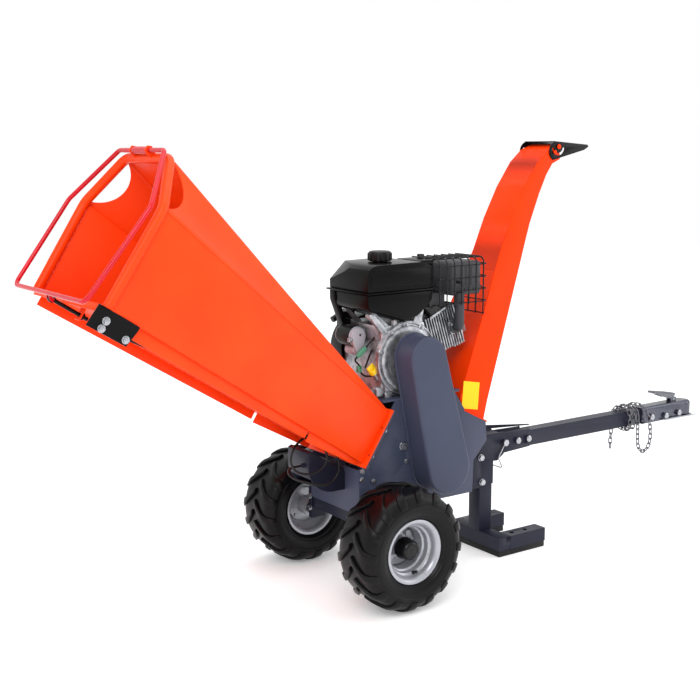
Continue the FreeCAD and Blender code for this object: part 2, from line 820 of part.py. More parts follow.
def make_guard_back():
    """Flat plate behind the belts that the cover closes on."""
    back = -side_y
    base = Part.Face(guard_outline(-6, back - guard_back_t)).extrude(V(0, guard_back_t, 0))
    base = base.cut(cyl_y(crank_x, crank_z, crank_r + 12, -300, 0))
    return base.cut(cyl_y(rotor_x, rotor_z, bearing_flange_r + 1, -300, 0))


# ---------------------------------------------------------------- hopper
def side_half(u, w):
    """Half width of the outer side planes."""
    flare = (mouth_half - throat_half) / hopper_len
    spread = (shoulder_half - mouth_half) / shoulder_h
    return throat_half + flare * u + spread * w


def side_slant():
    """Direction square to the right side plane, pointing into the hopper."""
    a = hop(0, 0, -side_half(0, 0))
    b = hop(hopper_len, 0, -side_half(hopper_len, 0))
    c = hop(0, 100, -side_half(0, 100))
    normal = (b - a).cross(c - a).normalize()
    return normal if normal.y > 0 else normal * -1


def shoulder_w(u):
    """Height of the fold where the side meets the sloping panel."""
    return throat_h + (shoulder_h - throat_h) * u / hopper_len


def make_hopper_sides():
    u0 = flange_t + 0.5
    u1 = hopper_len - rim_tube_r - seat
    base = hopper_sheet + 0.2
    corners = [(u0, base), (u1, base), (u1, shoulder_w(u1)), (u0, shoulder_w(u0))]
    inner = side_slant()
    face = polygon([hop(u, w, -side_half(u, w)) for u, w in corners])
    right = face.extrude(inner * hopper_sheet)
    ring = throat_ring(0.0, flange_t)
    for y in (-1, 1):
        for w in (32, 131):
            ring = ring.cut(Part.makeCylinder(4.5, 30, hop(-10, w, y * (throat_half + 9)), U))
    return pair(right) + [ring]


def make_hopper_roof():
    """Flat roof and the two triangular panels beside it, hand gaps cut behind the rim."""
    u0 = flange_t + 1.5
    u1 = hopper_len - rim_tube_r - seat

    def roof_w(u):
        return throat_h + (mouth_h - throat_h) * u / hopper_len

    def roof_half(u):
        return throat_top_half + (crown_half - throat_top_half) * u / hopper_len
    drop = hopper_sheet
    top = polygon([hop(u0, roof_w(u0) + 0.2, -roof_half(u0)), hop(u1, roof_w(u1) + 0.2, -roof_half(u1)),
                   hop(u1, roof_w(u1) + 0.2, roof_half(u1)), hop(u0, roof_w(u0) + 0.2, roof_half(u0))])
    normal = top.normalAt(0, 0)
    if normal.dot(W) < 0:
        normal = normal * -1
    roof = top.extrude(normal * drop)
    shoulder = hop(hopper_len, shoulder_h, -shoulder_half)
    crown = hop(hopper_len, mouth_h, -crown_half)
    corner = hop(0, throat_h, -throat_top_half)
    normal = (shoulder - corner).cross(crown - corner).normalize()
    if normal.dot(W) < 0:
        normal = normal * -1
    lift = normal * 0.25
    start = 0.012
    end = (hopper_len - rim_tube_r - seat) / hopper_len
    panel = polygon([corner + (shoulder - corner) * start + lift, corner + (shoulder - corner) * end + lift,
                     corner + (crown - corner) * end + lift, corner + (crown - corner) * start + lift])
    panel = panel.extrude(normal * drop)
    chord = (crown - shoulder).Length - 24
    radius = (chord * chord / 4 + scallop_depth ** 2) / (2 * scallop_depth)
    middle = (shoulder + crown) * 0.5 + U * (radius - scallop_depth - rim_tube_r)
    panel = panel.cut(Part.makeCylinder(radius, 60, middle - normal * 30, normal))
    return [roof] + pair(panel)


def make_hopper_floor():
    """Floor plate, with its front lip and two rails under each side welded on."""
    u0 = flange_t + 0.5
    u1 = hopper_len - rim_tube_r
    u2 = hopper_len + 14
    in0 = side_half(u0, 0) - 0.5
    in1 = side_half(u1, 0) - 0.5
    ear = mouth_half + rim_tube_r
    t = hopper_sheet
    outline = [(u0, in0), (u1, in1), (u1 + 0.5, ear), (u2, ear), (u2, -ear), (u1 + 0.5, -ear),
               (u1, -in1), (u0, -in0)]
    floor = polygon([hop(u, 0, y) for u, y in outline]).extrude(W * t)
    lip = hop_prism([(u2 - t, -weld), (u2, -weld), (u2, -20), (u2 - t, -20)], -lip_half, lip_half)
    pieces = [floor, lip]
    slope = (side_half(u1, 0) - side_half(u0, 0)) / (u1 - u0)
    for u_a, u_b, h_a, h_b in ((268, u1, rail_rear_h, rail_front_h), (24, 258, 17, 34)):
        y_a = -side_half(u_a, 0) + rail_inset
        y_b = -side_half(u_b, 0) + rail_inset
        web = polygon([hop(u_a, -weld, y_a), hop(u_b, -weld, y_b),
                       hop(u_b, -h_b, y_b), hop(u_a, -h_a, y_a)])
        inward = V(0, 1, 0) + U * slope
        web = web.extrude(inward.normalize() * t)
        pieces.extend(pair(web))
    return pieces


def make_hopper_rim():
    """Tubular rim round the mouth, with the two lugs that carry the stop bar."""
    u = hopper_len
    foot = hopper_sheet + 0.8
    path = [hop(u, foot, -mouth_half), hop(u, shoulder_h, -shoulder_half), hop(u, mouth_h, -crown_half),
            hop(u, mouth_h, crown_half), hop(u, shoulder_h, shoulder_half), hop(u, foot, mouth_half)]
    wire = bent_wire(path, rim_bend_r)
    tube = sweep_round(wire, rim_tube_r).cut(sweep_round(wire, rim_tube_r - rim_tube_wall))
    top_u, top_w = bar_top[0], bar_top[1]
    lugs = []
    for y in (-bar_lug_y, bar_lug_y):
        y0 = y - bar_lug_t / 2
        blade = hop_prism([(u + 2, mouth_h + 8), (u + 8, mouth_h - 8), (top_u, top_w - 14),
                           (top_u + 12, top_w - 8), (top_u + 12, top_w + 8), (top_u, top_w + 14)],
                          y0, y0 + bar_lug_t)
        blade = blade.cut(sweep_round(wire, rim_tube_r - 0.5))
        eye = hop(top_u, top_w, y0 - 1)
        lugs.append(blade.cut(Part.makeCylinder(bar_r + fit, bar_lug_t + 2, eye, Y)))
    return union([tube] + lugs)


def make_corner_plate():
    """Plate welded under the near lower corner of the mouth, with three bolts."""
    u = hopper_len
    wall = hop_prism([(u + 24, -weld), (u + 29, -68), (u - 103, -65), (u - 113, -12), (u - 113, -weld)],
                     -corner_y, -corner_y + corner_t)
    shelf = hop_prism([(u + 10, -weld), (u + 10, -4), (u - 10, -4), (u - 10, -weld)],
                      -corner_y + corner_t, -corner_y + corner_t + 14)
    wall = wall.fuse(shelf).removeSplitter()
    bolts = []
    for u, w in ((hopper_len - 16, -32), (hopper_len - 14, -56), (hopper_len - 92, -50)):
        foot = hop(u, w, -corner_y)
        wall = drill(wall, foot, V(0, -1, 0), 9, corner_t)
        bolts.append(bolt(foot, V(0, -1, 0), 9, corner_t))
    return [wall] + bolts


def make_stop_bar():
    """Closed safety loop of round bar, a sleeve between its lugs and two clevis ears."""
    levels = (bar_bottom, bar_shoulder, bar_top)
    ring = [hop(u, w, -y) for u, w, y in levels] + [hop(u, w, y) for u, w, y in reversed(levels)]
    loop = sweep_round(bent_wire(ring, bar_bend_r, True), bar_r)
    u, w, _ = bar_top
    half = bar_lug_y - bar_lug_t / 2 - 2
    sleeve = Part.makeCylinder(bar_r + 4, 2 * half, hop(u, w, -half), Y)
    ears = []
    u, w, _ = bar_bottom
    for y0 in (-12, 8):
        blade = hop_prism([(u + 5, w), (u - 5, w), (rod_front - 8, rod_w - 7), (rod_front + 6, rod_w - 8)],
                          y0, y0 + 4)
        ears.append(blade)
    pin = Part.makeCylinder(clevis_pin_r, 24, hop(rod_front, rod_w, -12), Y)
    return union([loop, sleeve, pin] + ears)


def make_push_rod():
    """Rod from the stop bar's clevis through its guide strap, with its stop nut."""
    eye_r = clevis_pin_r + clevis_play + 4
    eye = Part.makeCylinder(eye_r, 14, hop(rod_front, rod_w, -7), Y)
    shaft = Part.makeCylinder(rod_r, rod_front - 6 - rod_rear, hop(rod_rear, rod_w, 0), U)
    nut = Part.makeCylinder(rod_r + 5, 9, hop(rod_guide_u - 4 - seat - 9, rod_w, 0), U)
    rod = union([eye, shaft, nut])
    return rod.cut(Part.makeCylinder(clevis_pin_r + clevis_play, 30, hop(rod_front, rod_w, -15), Y))


def make_rod_guide():
    """Strap hanging from the floor with the hole that guides the push rod."""
    face = polygon([hop(rod_guide_u - 4, -0.2, -16), hop(rod_guide_u - 4, -0.2, 16),
                    hop(rod_guide_u - 4, rod_w - 16, 16), hop(rod_guide_u - 4, rod_w - 16, -16)])
    strap = face.extrude(U * 4)
    hole = Part.makeCylinder(rod_r + fit, 20, hop(rod_guide_u - 10, rod_w, 0), U)
    return strap.cut(hole)


def make_stop_switch():
    """Limit switch behind the push rod, with its cable gland."""
    u1 = rod_rear - rod_travel - swing
    body = hop_prism([(u1 - 48, -0.2), (u1 - 6, -0.2),
                      (u1 - 6, rod_w - 14), (u1 - 48, rod_w - 14)], -17, 17)
    nose = Part.makeCylinder(5, 6.5, hop(u1 - 6.5, rod_w, 0), U)
    gland = Part.makeCylinder(7, 14, hop(u1 - 62, rod_w + 8, 0), U)
    return union([body, nose, gland])


# ---------------------------------------------------------------- discharge chute
def duct_sheet(rings, start, end, y0, y1):
    """Sheet of the duct through the given rings.

    start and end count from the rear edge and y0 and y1 from the right side; where one is
    below zero, or an end is zero, it counts back from the front edge or the left side.
    """
    sections = []
    for k in rings:
        rear, front, half = chute_rings[k]
        depth = (front - rear).Length
        across = (front - rear).normalize()
        a = rear + across * (start if start >= 0 else depth + start)
        b = rear + across * (end if end > 0 else depth + end)
        low = V(0, y0 - half, 0)
        high = V(0, y1 - half if y1 > 0 else y1 + half, 0)
        sections.append(Part.makePolygon([a + low, b + low, b + high, a + high, a + low]))
    return Part.makeLoft(sections, True, True)


def make_chute():
    """Duct welded from flat sheets on a flange of four bars, curling forward at the top."""
    t = chute_sheet
    last = len(chute_rings)
    side = duct_sheet(range(chute_kink + 1), 0, 0, 0, t)
    side = side.fuse(duct_sheet(range(chute_kink, last), 0, 0, 0, t)).removeSplitter()
    sheets = pair(side)
    for k in range(last - 1):
        sheets.append(duct_sheet((k, k + 1), 0, t, t + weld, -t - weld))
        sheets.append(duct_sheet((k, k + 1), -t, 0, t + weld, -t - weld))
    across = (chute_seat_front - chute_seat_rear).normalize()
    up = V(-across.z, 0, across.x)
    base = chute_seat_rear - across * chute_overhang + up * weld
    length = (chute_seat_front - chute_seat_rear).Length + 2 * chute_overhang

    def bar(a, b, y0, y1, thickness):
        corners = [(a, y0), (b, y0), (b, y1), (a, y1)]
        return polygon([base + across * d + V(0, y, 0) for d, y in corners]).extrude(up * thickness)

    far = length - chute_bar
    inner = chute_base_half - chute_bar + chute_overhang
    bars = [bar(0, chute_bar, -side_y, side_y, chute_flange_t),
            bar(far, length, -side_y, side_y, chute_flange_t)]
    bars += pair(bar(chute_bar + weld, far - weld, -side_y, -inner, chute_flange_t))
    under = bar(-2 * side_y, length + side_y, -2 * side_y, 2 * side_y, chute_flange_t + weld)
    return [part.cut(under) for part in sheets] + bars


def around_pivot(radius, degrees, y):
    a = math.radians(degrees)
    return deflector_pivot + V(radius * math.cos(a), y, radius * math.sin(a))


def crescent(y0, y1):
    """Slot bent round the pivot, with round ends."""
    edges = []
    middle = (slot_from + slot_to) / 2
    r0 = slot_r - slot_w / 2
    r1 = slot_r + slot_w / 2
    lap = math.degrees(slot_w / 2 / slot_r)
    edges.append(Part.Arc(around_pivot(r1, slot_from, y0), around_pivot(r1, middle, y0),
                          around_pivot(r1, slot_to, y0)))
    edges.append(Part.Arc(around_pivot(r1, slot_to, y0), around_pivot(slot_r, slot_to + lap, y0),
                          around_pivot(r0, slot_to, y0)))
    edges.append(Part.Arc(around_pivot(r0, slot_to, y0), around_pivot(r0, middle, y0),
                          around_pivot(r0, slot_from, y0)))
    edges.append(Part.Arc(around_pivot(r0, slot_from, y0), around_pivot(slot_r, slot_from - lap, y0),
                          around_pivot(r1, slot_from, y0)))
    return Part.Face(Part.Wire([e.toShape() for e in edges])).extrude(V(0, y1 - y0, 0))


def make_deflector():
    """Hinged hood on the outlet: two slotted cheeks and a top plate."""
    y_in = chute_top_half + deflector_gap
    y0 = -y_in - deflector_t
    x, z = deflector_pivot.x, deflector_pivot.z

    def at(dx, dz):
        return V(x + dx, y0, z + dz)
    edges = [Part.Arc(at(-20, 17), at(-44, -22), at(-24, -47)), Part.LineSegment(at(-24, -47), at(132, -12)),
             Part.LineSegment(at(132, -12), at(155, 0)), Part.LineSegment(at(155, 0), at(150, 4)),
             Part.LineSegment(at(150, 4), at(-20, 17))]
    cheek = Part.Face(Part.Wire([e.toShape() for e in edges])).extrude(V(0, deflector_t, 0))
    cheek = cheek.cut(cyl_y(x, z, deflector_pin_r + fit, -300, 0)).cut(crescent(y0 - 1, -y_in + 1))
    top = prism_y([(x - 20, z + 17), (x + 150, z + 4), (x + 150, z + 7), (x - 20, z + 20)], y0, -y0)
    return union(pair(cheek) + [top])


def make_deflector_pins():
    """Pivot and clamp bolts standing on the chute's two side walls."""
    y0 = -chute_top_half
    y1 = y0 - deflector_gap - deflector_t - 0.6
    pieces = []
    for place, radius in ((deflector_pivot, deflector_pin_r), (around_pivot(slot_r, lock_at, 0), 3.5)):
        pin = cyl_y(place.x, place.z, radius, y1, y0)
        head = cyl_y(place.x, place.z, radius + 3.5, y1 - 5, y1)
        pieces.append(pin.fuse(head).removeSplitter())
    return pieces + [mirror_y(p) for p in pieces]


# ---------------------------------------------------------------- engine
def tilted(shape):
    """Turn a shape drawn along +X from the crankshaft up to the cylinder's lean."""
    shape.rotate(V(0, 0, 0), V(0, 1, 0), -cylinder_tilt)
    shape.translate(V(crank_x, 0, crank_z))
    return shape


def make_crankcase():
    """Cast crankcase with its side cover, feet and dipstick neck."""
    x0 = crank_x - case_rear
    x1 = crank_x + case_front
    floor = deck_z + deck_t
    body = box(x0, x1, engine_face + 14, engine_back, floor + 12, crank_z + case_top)
    cover = cyl_y(crank_x, crank_z, case_cover_r, engine_face, engine_face + 14)
    skirt = box(x0 + 8, x1 - 8, engine_face + 2, engine_face + 14, floor + 12, crank_z)
    boss = cyl_y(crank_x, crank_z, 34, -side_y, engine_face)
    feet = box(deck_rear, x1 + 30, engine_face + 8, engine_back - 10, floor, floor + 12)
    case = union([body, cover, skirt, boss, feet])
    slab = tilted(box(cylinder_root, 500, -400, 400, -400, 400))
    case = case.cut(slab.common(box(0, 900, -400, 400, floor + 12.1, 1300)))
    cavity = cyl_y(crank_x, crank_z, 78, engine_face + 14 + case_wall, engine_back - case_wall)
    case = case.cut(cavity)
    case = case.cut(tilted(Part.makeCylinder(cylinder_bore_r, 80, V(40, 0, 0), V(1, 0, 0))))
    case = case.cut(cyl_y(crank_x, crank_z, crank_r + fit, -300, 300))
    neck = Part.makeCylinder(11, 26, V(x0 - 2, dipstick_y, floor + 62), V(-0.6, 0, 0.8))
    case = case.fuse(neck.cut(box(x0, x1, -200, 200, 600, 800)))
    for x, y in engine_feet():
        case = drill(case, V(x, y, floor + 12), V(0, 0, 1), engine_bolt, 12)
    return case.removeSplitter()


def engine_feet():
    """Places of the four bolts that hold the engine on its deck."""
    return [(x, y) for x in (crank_x - case_rear - 14, crank_x + case_front + 16)
            for y in (engine_face + 24, engine_back - 26)]


def make_dipstick():
    """Yellow filler plug screwed on its neck."""
    base = V(crank_x - case_rear - 2, dipstick_y, deck_z + deck_t + 62)
    axis = V(-0.6, 0, 0.8)
    plug = Part.makeCylinder(16, 14, base + axis * 26.3, axis)
    grip = Part.makeBox(26, 5, 12, V(-13, -2.5, 0))
    grip.rotate(V(0, 0, 0), V(0, 1, 0), -math.degrees(math.atan2(0.6, 0.8)))
    grip.translate(base + axis * 40)
    return plug.fuse(grip).removeSplitter()


def make_cylinder():
    """Finned barrel and head, with the rocker cover and exhaust port flange."""
    foot = box(cylinder_root + seat, cylinder_root + 11, -78, 78, -74, 74)
    core = Part.makeCylinder(50, cylinder_end - cylinder_root - 4, V(cylinder_root + 2, 0, 0), V(1, 0, 0))
    pieces = [foot, core]
    s = cylinder_root + 20
    while s < cylinder_end - 8:
        tall = fin_tall - 6 if s < 214 else fin_tall
        pieces.append(box(s, s + 3.5, -82, 82, -tall, tall))
        s += 10.5
    head = box(cylinder_end - 12, cylinder_end, -66, 66, -58, 58)
    port = Part.makeCylinder(20, port_out - 36, V(cylinder_end - 44, -34, 0), V(0, -1, 0))
    port_flange = box(cylinder_end - 70, cylinder_end - 18, -port_out, -port_out + 6, -24, 24)
    barrel = union(pieces + [head, port, port_flange])
    bore = Part.makeCylinder(cylinder_bore_r, 120, V(cylinder_root - 1, 0, 0), V(1, 0, 0))
    barrel = barrel.cut(bore)
    cover = box(cylinder_end + 0.2, cylinder_end + 26, -58, 58, -50, 50)
    edges = [e for e in cover.Edges if e.BoundBox.XMin > cylinder_end + 25]
    cover = cover.makeFillet(9, edges)
    return [tilted(barrel), tilted(cover)]


def make_crankshaft():
    """Crankshaft with webs and crankpin, and the fan flywheel at its far end."""
    shaft = cyl_y(crank_x, crank_z, crank_r, guard_face + 14, engine_back + 56)
    webs = [cyl_y(crank_x, crank_z, 46, -34, -18), cyl_y(crank_x, crank_z, 46, 18, 34)]
    flywheel = cyl_y(crank_x, crank_z, 88, engine_back + 20, engine_back + 36)
    fins = []
    for i in range(12):
        fin = box(crank_x + 44, crank_x + 86, engine_back + 36, engine_back + 50,
                  crank_z - 1.5, crank_z + 1.5)
        fin.rotate(V(crank_x, 0, crank_z), V(0, 1, 0), 30 * i)
        fins.append(fin)
    return union([shaft, flywheel] + webs + fins)


def make_blower():
    """Fan shroud on the far side, open round the recoil starter."""
    y0 = engine_back + seat
    y1 = y0 + blower_w
    wall = blower_wall
    outer = cyl_y(crank_x, crank_z, blower_r, y0, y1)
    duct = tilted(box(0, 240, y0, y1 - 14, -92, 96))
    post = box(throttle_x - 8, throttle_x + 56, y0 + 2, y0 + 20, throttle_z - 50, throttle_z + 9)
    shell = union([outer, duct, post])
    inner = cyl_y(crank_x, crank_z, blower_r - wall, y0 - 1, y1 - wall)
    inner = inner.fuse(tilted(box(0, 240 - wall, y0 - 1, y1 - 14 - wall, -92 + wall, 96 - wall)))
    shell = shell.cut(inner).cut(cyl_y(crank_x, crank_z, recoil_r - 18, y0, y1 + 1))
    blade = throttle_y() + throttle_t
    pin = cyl_y(throttle_x, throttle_z, throttle_pin_r, y0 + 10, blade + 1)
    head = cyl_y(throttle_x, throttle_z, throttle_pin_r + 3, blade + seat, blade + 4)
    return union([shell, pin, head])


def throttle_y():
    """Near face of the throttle lever's blade."""
    return engine_back + 20 + 2 * seat


def make_recoil():
    """Recoil starter cover with its rope guide."""
    y1 = engine_back + blower_w + 2 * seat
    cup = cyl_y(crank_x, crank_z, recoil_r, y1, y1 + recoil_w)
    edge = [e for e in cup.Edges if e.BoundBox.YMin > y1 + recoil_w - 1 and e.BoundBox.XLength > 100]
    cup = cup.makeFillet(12, edge)
    cup = cup.cut(cyl_y(crank_x, crank_z, recoil_r - 6, y1 - 1, y1 + recoil_w - 6))
    root = rope_point(recoil_r - 6)
    guide = Part.makeCylinder(11, 24, root, rope_pull)
    guide = guide.cut(cyl_y(crank_x, crank_z, recoil_r - 2, y1 - 5, y1 + recoil_w - 4))
    bore = Part.makeCylinder(rope_r + 1.4, 60, root - rope_pull * 22, rope_pull)
    return cup.fuse(guide).cut(bore).removeSplitter()


def rope_point(reach):
    """Point on the rope's line, the given way from the recoil's centre."""
    y = engine_back + blower_w + 2 * seat + recoil_w / 2
    return V(crank_x, y, crank_z) + rope_pull * reach


def make_recoil_handle():
    """Grip with the stub of its rope in the guide."""
    base = rope_point(recoil_r - 6 + 24 + seat)
    grip = Part.makeBox(84, 22, 20, V(-42, -11, 0))
    grip = grip.makeFillet(8, [e for e in grip.Edges if e.BoundBox.XLength > 50])
    grip.rotate(V(0, 0, 0), V(0, 1, 0), math.degrees(math.atan2(rope_pull.x, rope_pull.z)))
    grip.translate(base)
    stub = Part.makeCylinder(rope_r, 30, base - rope_pull * 26, rope_pull)
    return grip.fuse(stub).removeSplitter()


def make_starter_motor():
    """Electric starter lying along the crankcase, with its solenoid and pear-shaped end plate."""
    x = crank_x - case_rear - starter_r - 2
    z = crank_z + 60
    motor = cyl_y(x, z, starter_r, -12, 66)
    solenoid = cyl_y(x + 3, z - 48, 17, -12, 40)
    tail = box(x, crank_x - case_rear - weld, -8, 40, z - 22, z + 22)
    waist = prism_y([(x - 28, z - 8), (x + 28, z - 8), (x + 13, z - 52), (x - 7, z - 52)], -22, -12)
    plate = union([cyl_y(x, z, 29, -22, -12), cyl_y(x + 3, z - 48, 11, -22, -12), waist])
    return union([motor, solenoid, tail, plate])


def make_tank():
    """Two-shell steel fuel tank with a seam flange and a filler neck."""
    outline = [(tank_x0 + 3, seam_z - 48), (tank_x0 + 61, seam_z - 74), (tank_x0 + 151, seam_z - 102),
               (tank_x0 + 215, seam_z - 86), (tank_x1 - 4, seam_z - 36),
               (tank_x1 - 2, seam_z + 62), (tank_x1 - 50, seam_z + 93), (tank_x0 + 26, seam_z + 90),
               (tank_x0 + 2, seam_z + 62)]
    body = prism_y(outline, tank_y0, tank_y1)
    upright = [e for e in body.Edges if e.BoundBox.YLength > 200]
    body = body.makeFillet(10, upright)
    shrunk = [(x + (4 if x < tank_x0 + 101 else -4), z + (4 if z < seam_z else -4)) for x, z in outline]
    inner = prism_y(shrunk, tank_y0 + 3, tank_y1 - 3)
    seam = box(tank_x0 - 8, tank_x1 + 6, tank_y0 - 8, tank_y1 + 8, seam_z - 3, seam_z + 3)
    neck = cyl_z(filler_x, filler_y, filler_r, seam_z + 84, neck_z)
    tank = union([body, seam, neck])
    tank = tank.cut(inner)
    return tank.cut(cyl_z(filler_x, filler_y, filler_r - 3, seam_z + 60, neck_z + 1))


def make_tank_brackets():
    """Cast arms that carry the tank on the crankcase."""
    foot = crank_z + case_top + weld
    x = crank_x
    z = seam_z
    left = [(x - 84, foot), (x - 62, foot), (x - 114, z - 71.6), (x - 136, z - 61.8)]
    right = [(x + 54, foot), (x + 76, foot), (x + 92, z - 46.6), (x + 70, z - 65.6)]
    return [prism_y(arm, y, y + 12) for arm in (left, right) for y in (-92, 60)]


def make_fuel_cap():
    """Ribbed filler cap over the neck."""
    z0 = neck_z - 6
    cap = cyl_z(filler_x, filler_y, cap_top_r, z0, z0 + 32)
    reach = cap_top_r + 2.5
    for i in range(16):
        a = math.radians(22.5 * i)
        notch = cyl_z(filler_x + reach * math.cos(a), filler_y + reach * math.sin(a), 4.5, z0 - 1, z0 + 26)
        cap = cap.cut(notch)
    return cap.cut(cyl_z(filler_x, filler_y, filler_r + seat, z0 - 1, neck_z + seat))


def make_air_cleaner():
    """Air cleaner housing with its cover knob, on the carburettor beside the cylinder."""
    x, y, r = cleaner_x, cleaner_y, cleaner_half
    top = cleaner_z + cleaner_h
    body = box(x - r, x + r, y - r, y + r, cleaner_z, top)
    body = body.makeFillet(12, [e for e in body.Edges if e.BoundBox.ZLength > cleaner_h - 10])
    lid = box(x - r + 4, x + r - 4, y - r + 4, y + r - 4, top, top + 10)
    knob = cyl_z(x, y, 13, top + 10, top + 26)
    elbow_z = cleaner_z - 16
    elbow = cyl_z(x - 14, y - 28, 20, elbow_z, cleaner_z + 1)
    carb = tilted(box(170, 262, 34, 84, fin_tall + seat, fin_tall + 30))
    cleaner = union([body, lid, knob, elbow, carb])
    t = cleaner_t
    chamber = box(x - r + t, x + r - t, y - r + t, y + r - t, cleaner_z + t, top - t)
    duct = cyl_z(x - 14, y - 28, 20 - t, elbow_z, cleaner_z + t + 1)
    inlet = cyl_y(x, cleaner_z + 30, 12, y + r - t - 1, y + r + 1)
    return cleaner.cut(union([chamber, duct, inlet]))


def make_muffler():
    """Muffler box with its pipe down to the exhaust port."""
    body = box(muffler_x0, muffler_x1, muffler_y0, muffler_y1, muffler_z0, muffler_z1)
    body = body.makeFillet(14, [e for e in body.Edges if e.BoundBox.YLength > 100])
    port = tilted(Part.Vertex(cylinder_end - 44, 0, 0)).Point
    y = muffler_y0
    y_flange = -port_out - weld
    pipe = cyl_z(port.x, y, pipe_r, port.z, muffler_z0 + 34)
    bend = cyl_y(port.x, port.z, pipe_r, y, y_flange)
    ball = Part.makeSphere(pipe_r, V(port.x, y, port.z))
    flange = cyl_y(port.x, port.z, pipe_r + 9, y_flange - 5, y_flange)
    muffler = union([body, pipe, bend, ball, flange])
    t = muffler_t
    chamber = box(muffler_x0 + t, muffler_x1 - t, muffler_y0 + t, muffler_y1 - t,
                  muffler_z0 + t, muffler_z1 - t)
    bore = cyl_z(port.x, y, pipe_r - t, port.z, muffler_z0 + 34)
    elbow = Part.makeSphere(pipe_r - t, V(port.x, y, port.z))
    inlet = cyl_y(port.x, port.z, pipe_r - t, y, y_flange + 1)
    outlet = cyl_y(muffler_x1 - 30, muffler_z1 - 30, 9, muffler_y1 - 10, muffler_y1 + 1)
    return muffler.cut(union([chamber, bore, elbow, inlet, outlet]))


def make_muffler_guard():
    """Wire guard: hoops over the muffler, crossed by wires bent round its right-hand side."""
    r = cage_wire
    layer = 1.5 * r
    top = cage_z1
    rods = []
    count = 7
    last = cage_x1 - cage_bend - 4
    for i in range(count):
        x = cage_x0 + (last - cage_x0) * i / (count - 1)
        rods.append(bent_wire([V(x, cage_y0, cage_low), V(x, cage_y0, top), V(x, cage_y1, top)], cage_bend))
    for y in (cage_y0 + 34, cage_y0 + 74, cage_y0 + 114):
        rods.append(bent_wire([V(cage_x1 + layer, y, cage_side_low), V(cage_x1 + layer, y, top - layer),
                               V(cage_x0 - 4, y, top - layer)], cage_bend))
    for i in range(4):
        z = cage_low + 6 + (top - cage_bend - cage_low - 10) * i / 3
        rods.append(bent_wire([V(cage_x0 - 4, cage_y0 + layer, z), V(cage_x1, cage_y0 + layer, z),
                               V(cage_x1, cage_y1, z)], cage_bend))
    rods.append(Part.Wire([Part.makeLine(V(cage_x1, cage_y0 + 24, cage_side_low + 5),
                                         V(cage_x1, cage_y1, cage_side_low + 5))]))
    guard = sweep_round(rods[0], r)
    for rod in rods[1:]:
        guard = guard.fuse(sweep_round(rod, r))
    hoop_x = cage_x0 + (last - cage_x0) / 2
    lug_z = muffler_z0 + 44
    lug = box(hoop_x - 6, hoop_x + 6, cage_y0, muffler_y0 - weld, lug_z, lug_z + 8)
    side_z = cage_low + 6 + (top - cage_bend - cage_low - 10) * 2 / 3
    side = box(muffler_x1 + weld, cage_x1, cage_y0 + 70, cage_y0 + 82, side_z - 4, side_z + 4)
    return guard.fuse(lug).fuse(side)


def make_throttle():
    """Throttle lever on its quadrant at the far side of the shroud."""
    x, z = throttle_x, throttle_z
    y = throttle_y()
    blade = box(x - 5, x + 5, y, y + throttle_t, z, z + 52)
    hub = cyl_y(x, z, 10, y, y + throttle_t)
    grip = box(x - 8, x + 8, y - 5, y + 8, z + 44, z + 66)
    lever = union([blade, hub, grip])
    return lever.cut(cyl_y(x, z, throttle_pin_r + fit, y - 10, y + 10))


def make_battery_box():
    """Sheet box behind the rotor housing with a rounded belly and a cable gland."""
    x1 = housing_rear - weld
    x0 = battery_rear
    y = -battery_half
    low = battery_low
    edges = [Part.LineSegment(V(x1, y, low + 63), V(x0 + 12, y, low + 149)),
             Part.LineSegment(V(x0 + 12, y, low + 149), V(x0, y, low + 143)),
             Part.LineSegment(V(x0, y, low + 143), V(x0, y, low + 79)),
             Part.Arc(V(x0, y, low + 79), V(x0 + 38, y, low + 21), V(x0 + 104, y, low)),
             Part.LineSegment(V(x0 + 104, y, low), V(x1, y, low)),
             Part.LineSegment(V(x1, y, low), V(x1, y, low + 63))]
    face = Part.Face(Part.Wire([e.toShape() for e in edges]))
    shell = face.extrude(V(0, 2 * battery_half, 0))
    shell = shell.cut(box(x0 + 10, x1 - 3, 3 - battery_half, battery_half - 3, low + 27, low + 61))
    end = cable_route[-1]
    return shell.fuse(cyl_x(end.y, end.z, cable_r + 4, x0 - 12, x0)).removeSplitter()


# the cable's points: under the hopper floor from the switch, two slack loops, the box's gland
cable_route = [
    hop(hopper_len - 166, -20, 0), hop(hopper_len - 218, -20, 0), hop(hopper_len - 288, -13, -46),
    hop(hopper_len - 388, -10, -88), hop(hopper_len - 528, -9, -104), hop(400, -10, -98),
    hop(260, -9, -104), hop(190, -11, -100), V(-172, -100, 524), V(-152, -100, 500),
    V(-147, -100, 473), V(-158, -99, 449), V(-182, -97, 434), V(-214, -96, 430), V(-246, -96, 437),
    V(-271, -95, 452), V(-284, -93, 476), V(-280, -90, 503), V(-262, -84, 526), V(-236, -75, 541),
    hop(196, -9, -67), hop(150, -10, -68), hop(100, -9, -78), V(-100, -86, 474), V(-94, -90, 446),
    V(-98, -92, 416), V(-118, -93, 393), V(-148, -93, 383), V(-180, -92, 388), V(-214, -93, 400),
    V(-252, -94, 414), V(-269, -77, 424), V(-269, -53, 434), V(-252, -36, 444), V(-208, -36, 444),
]


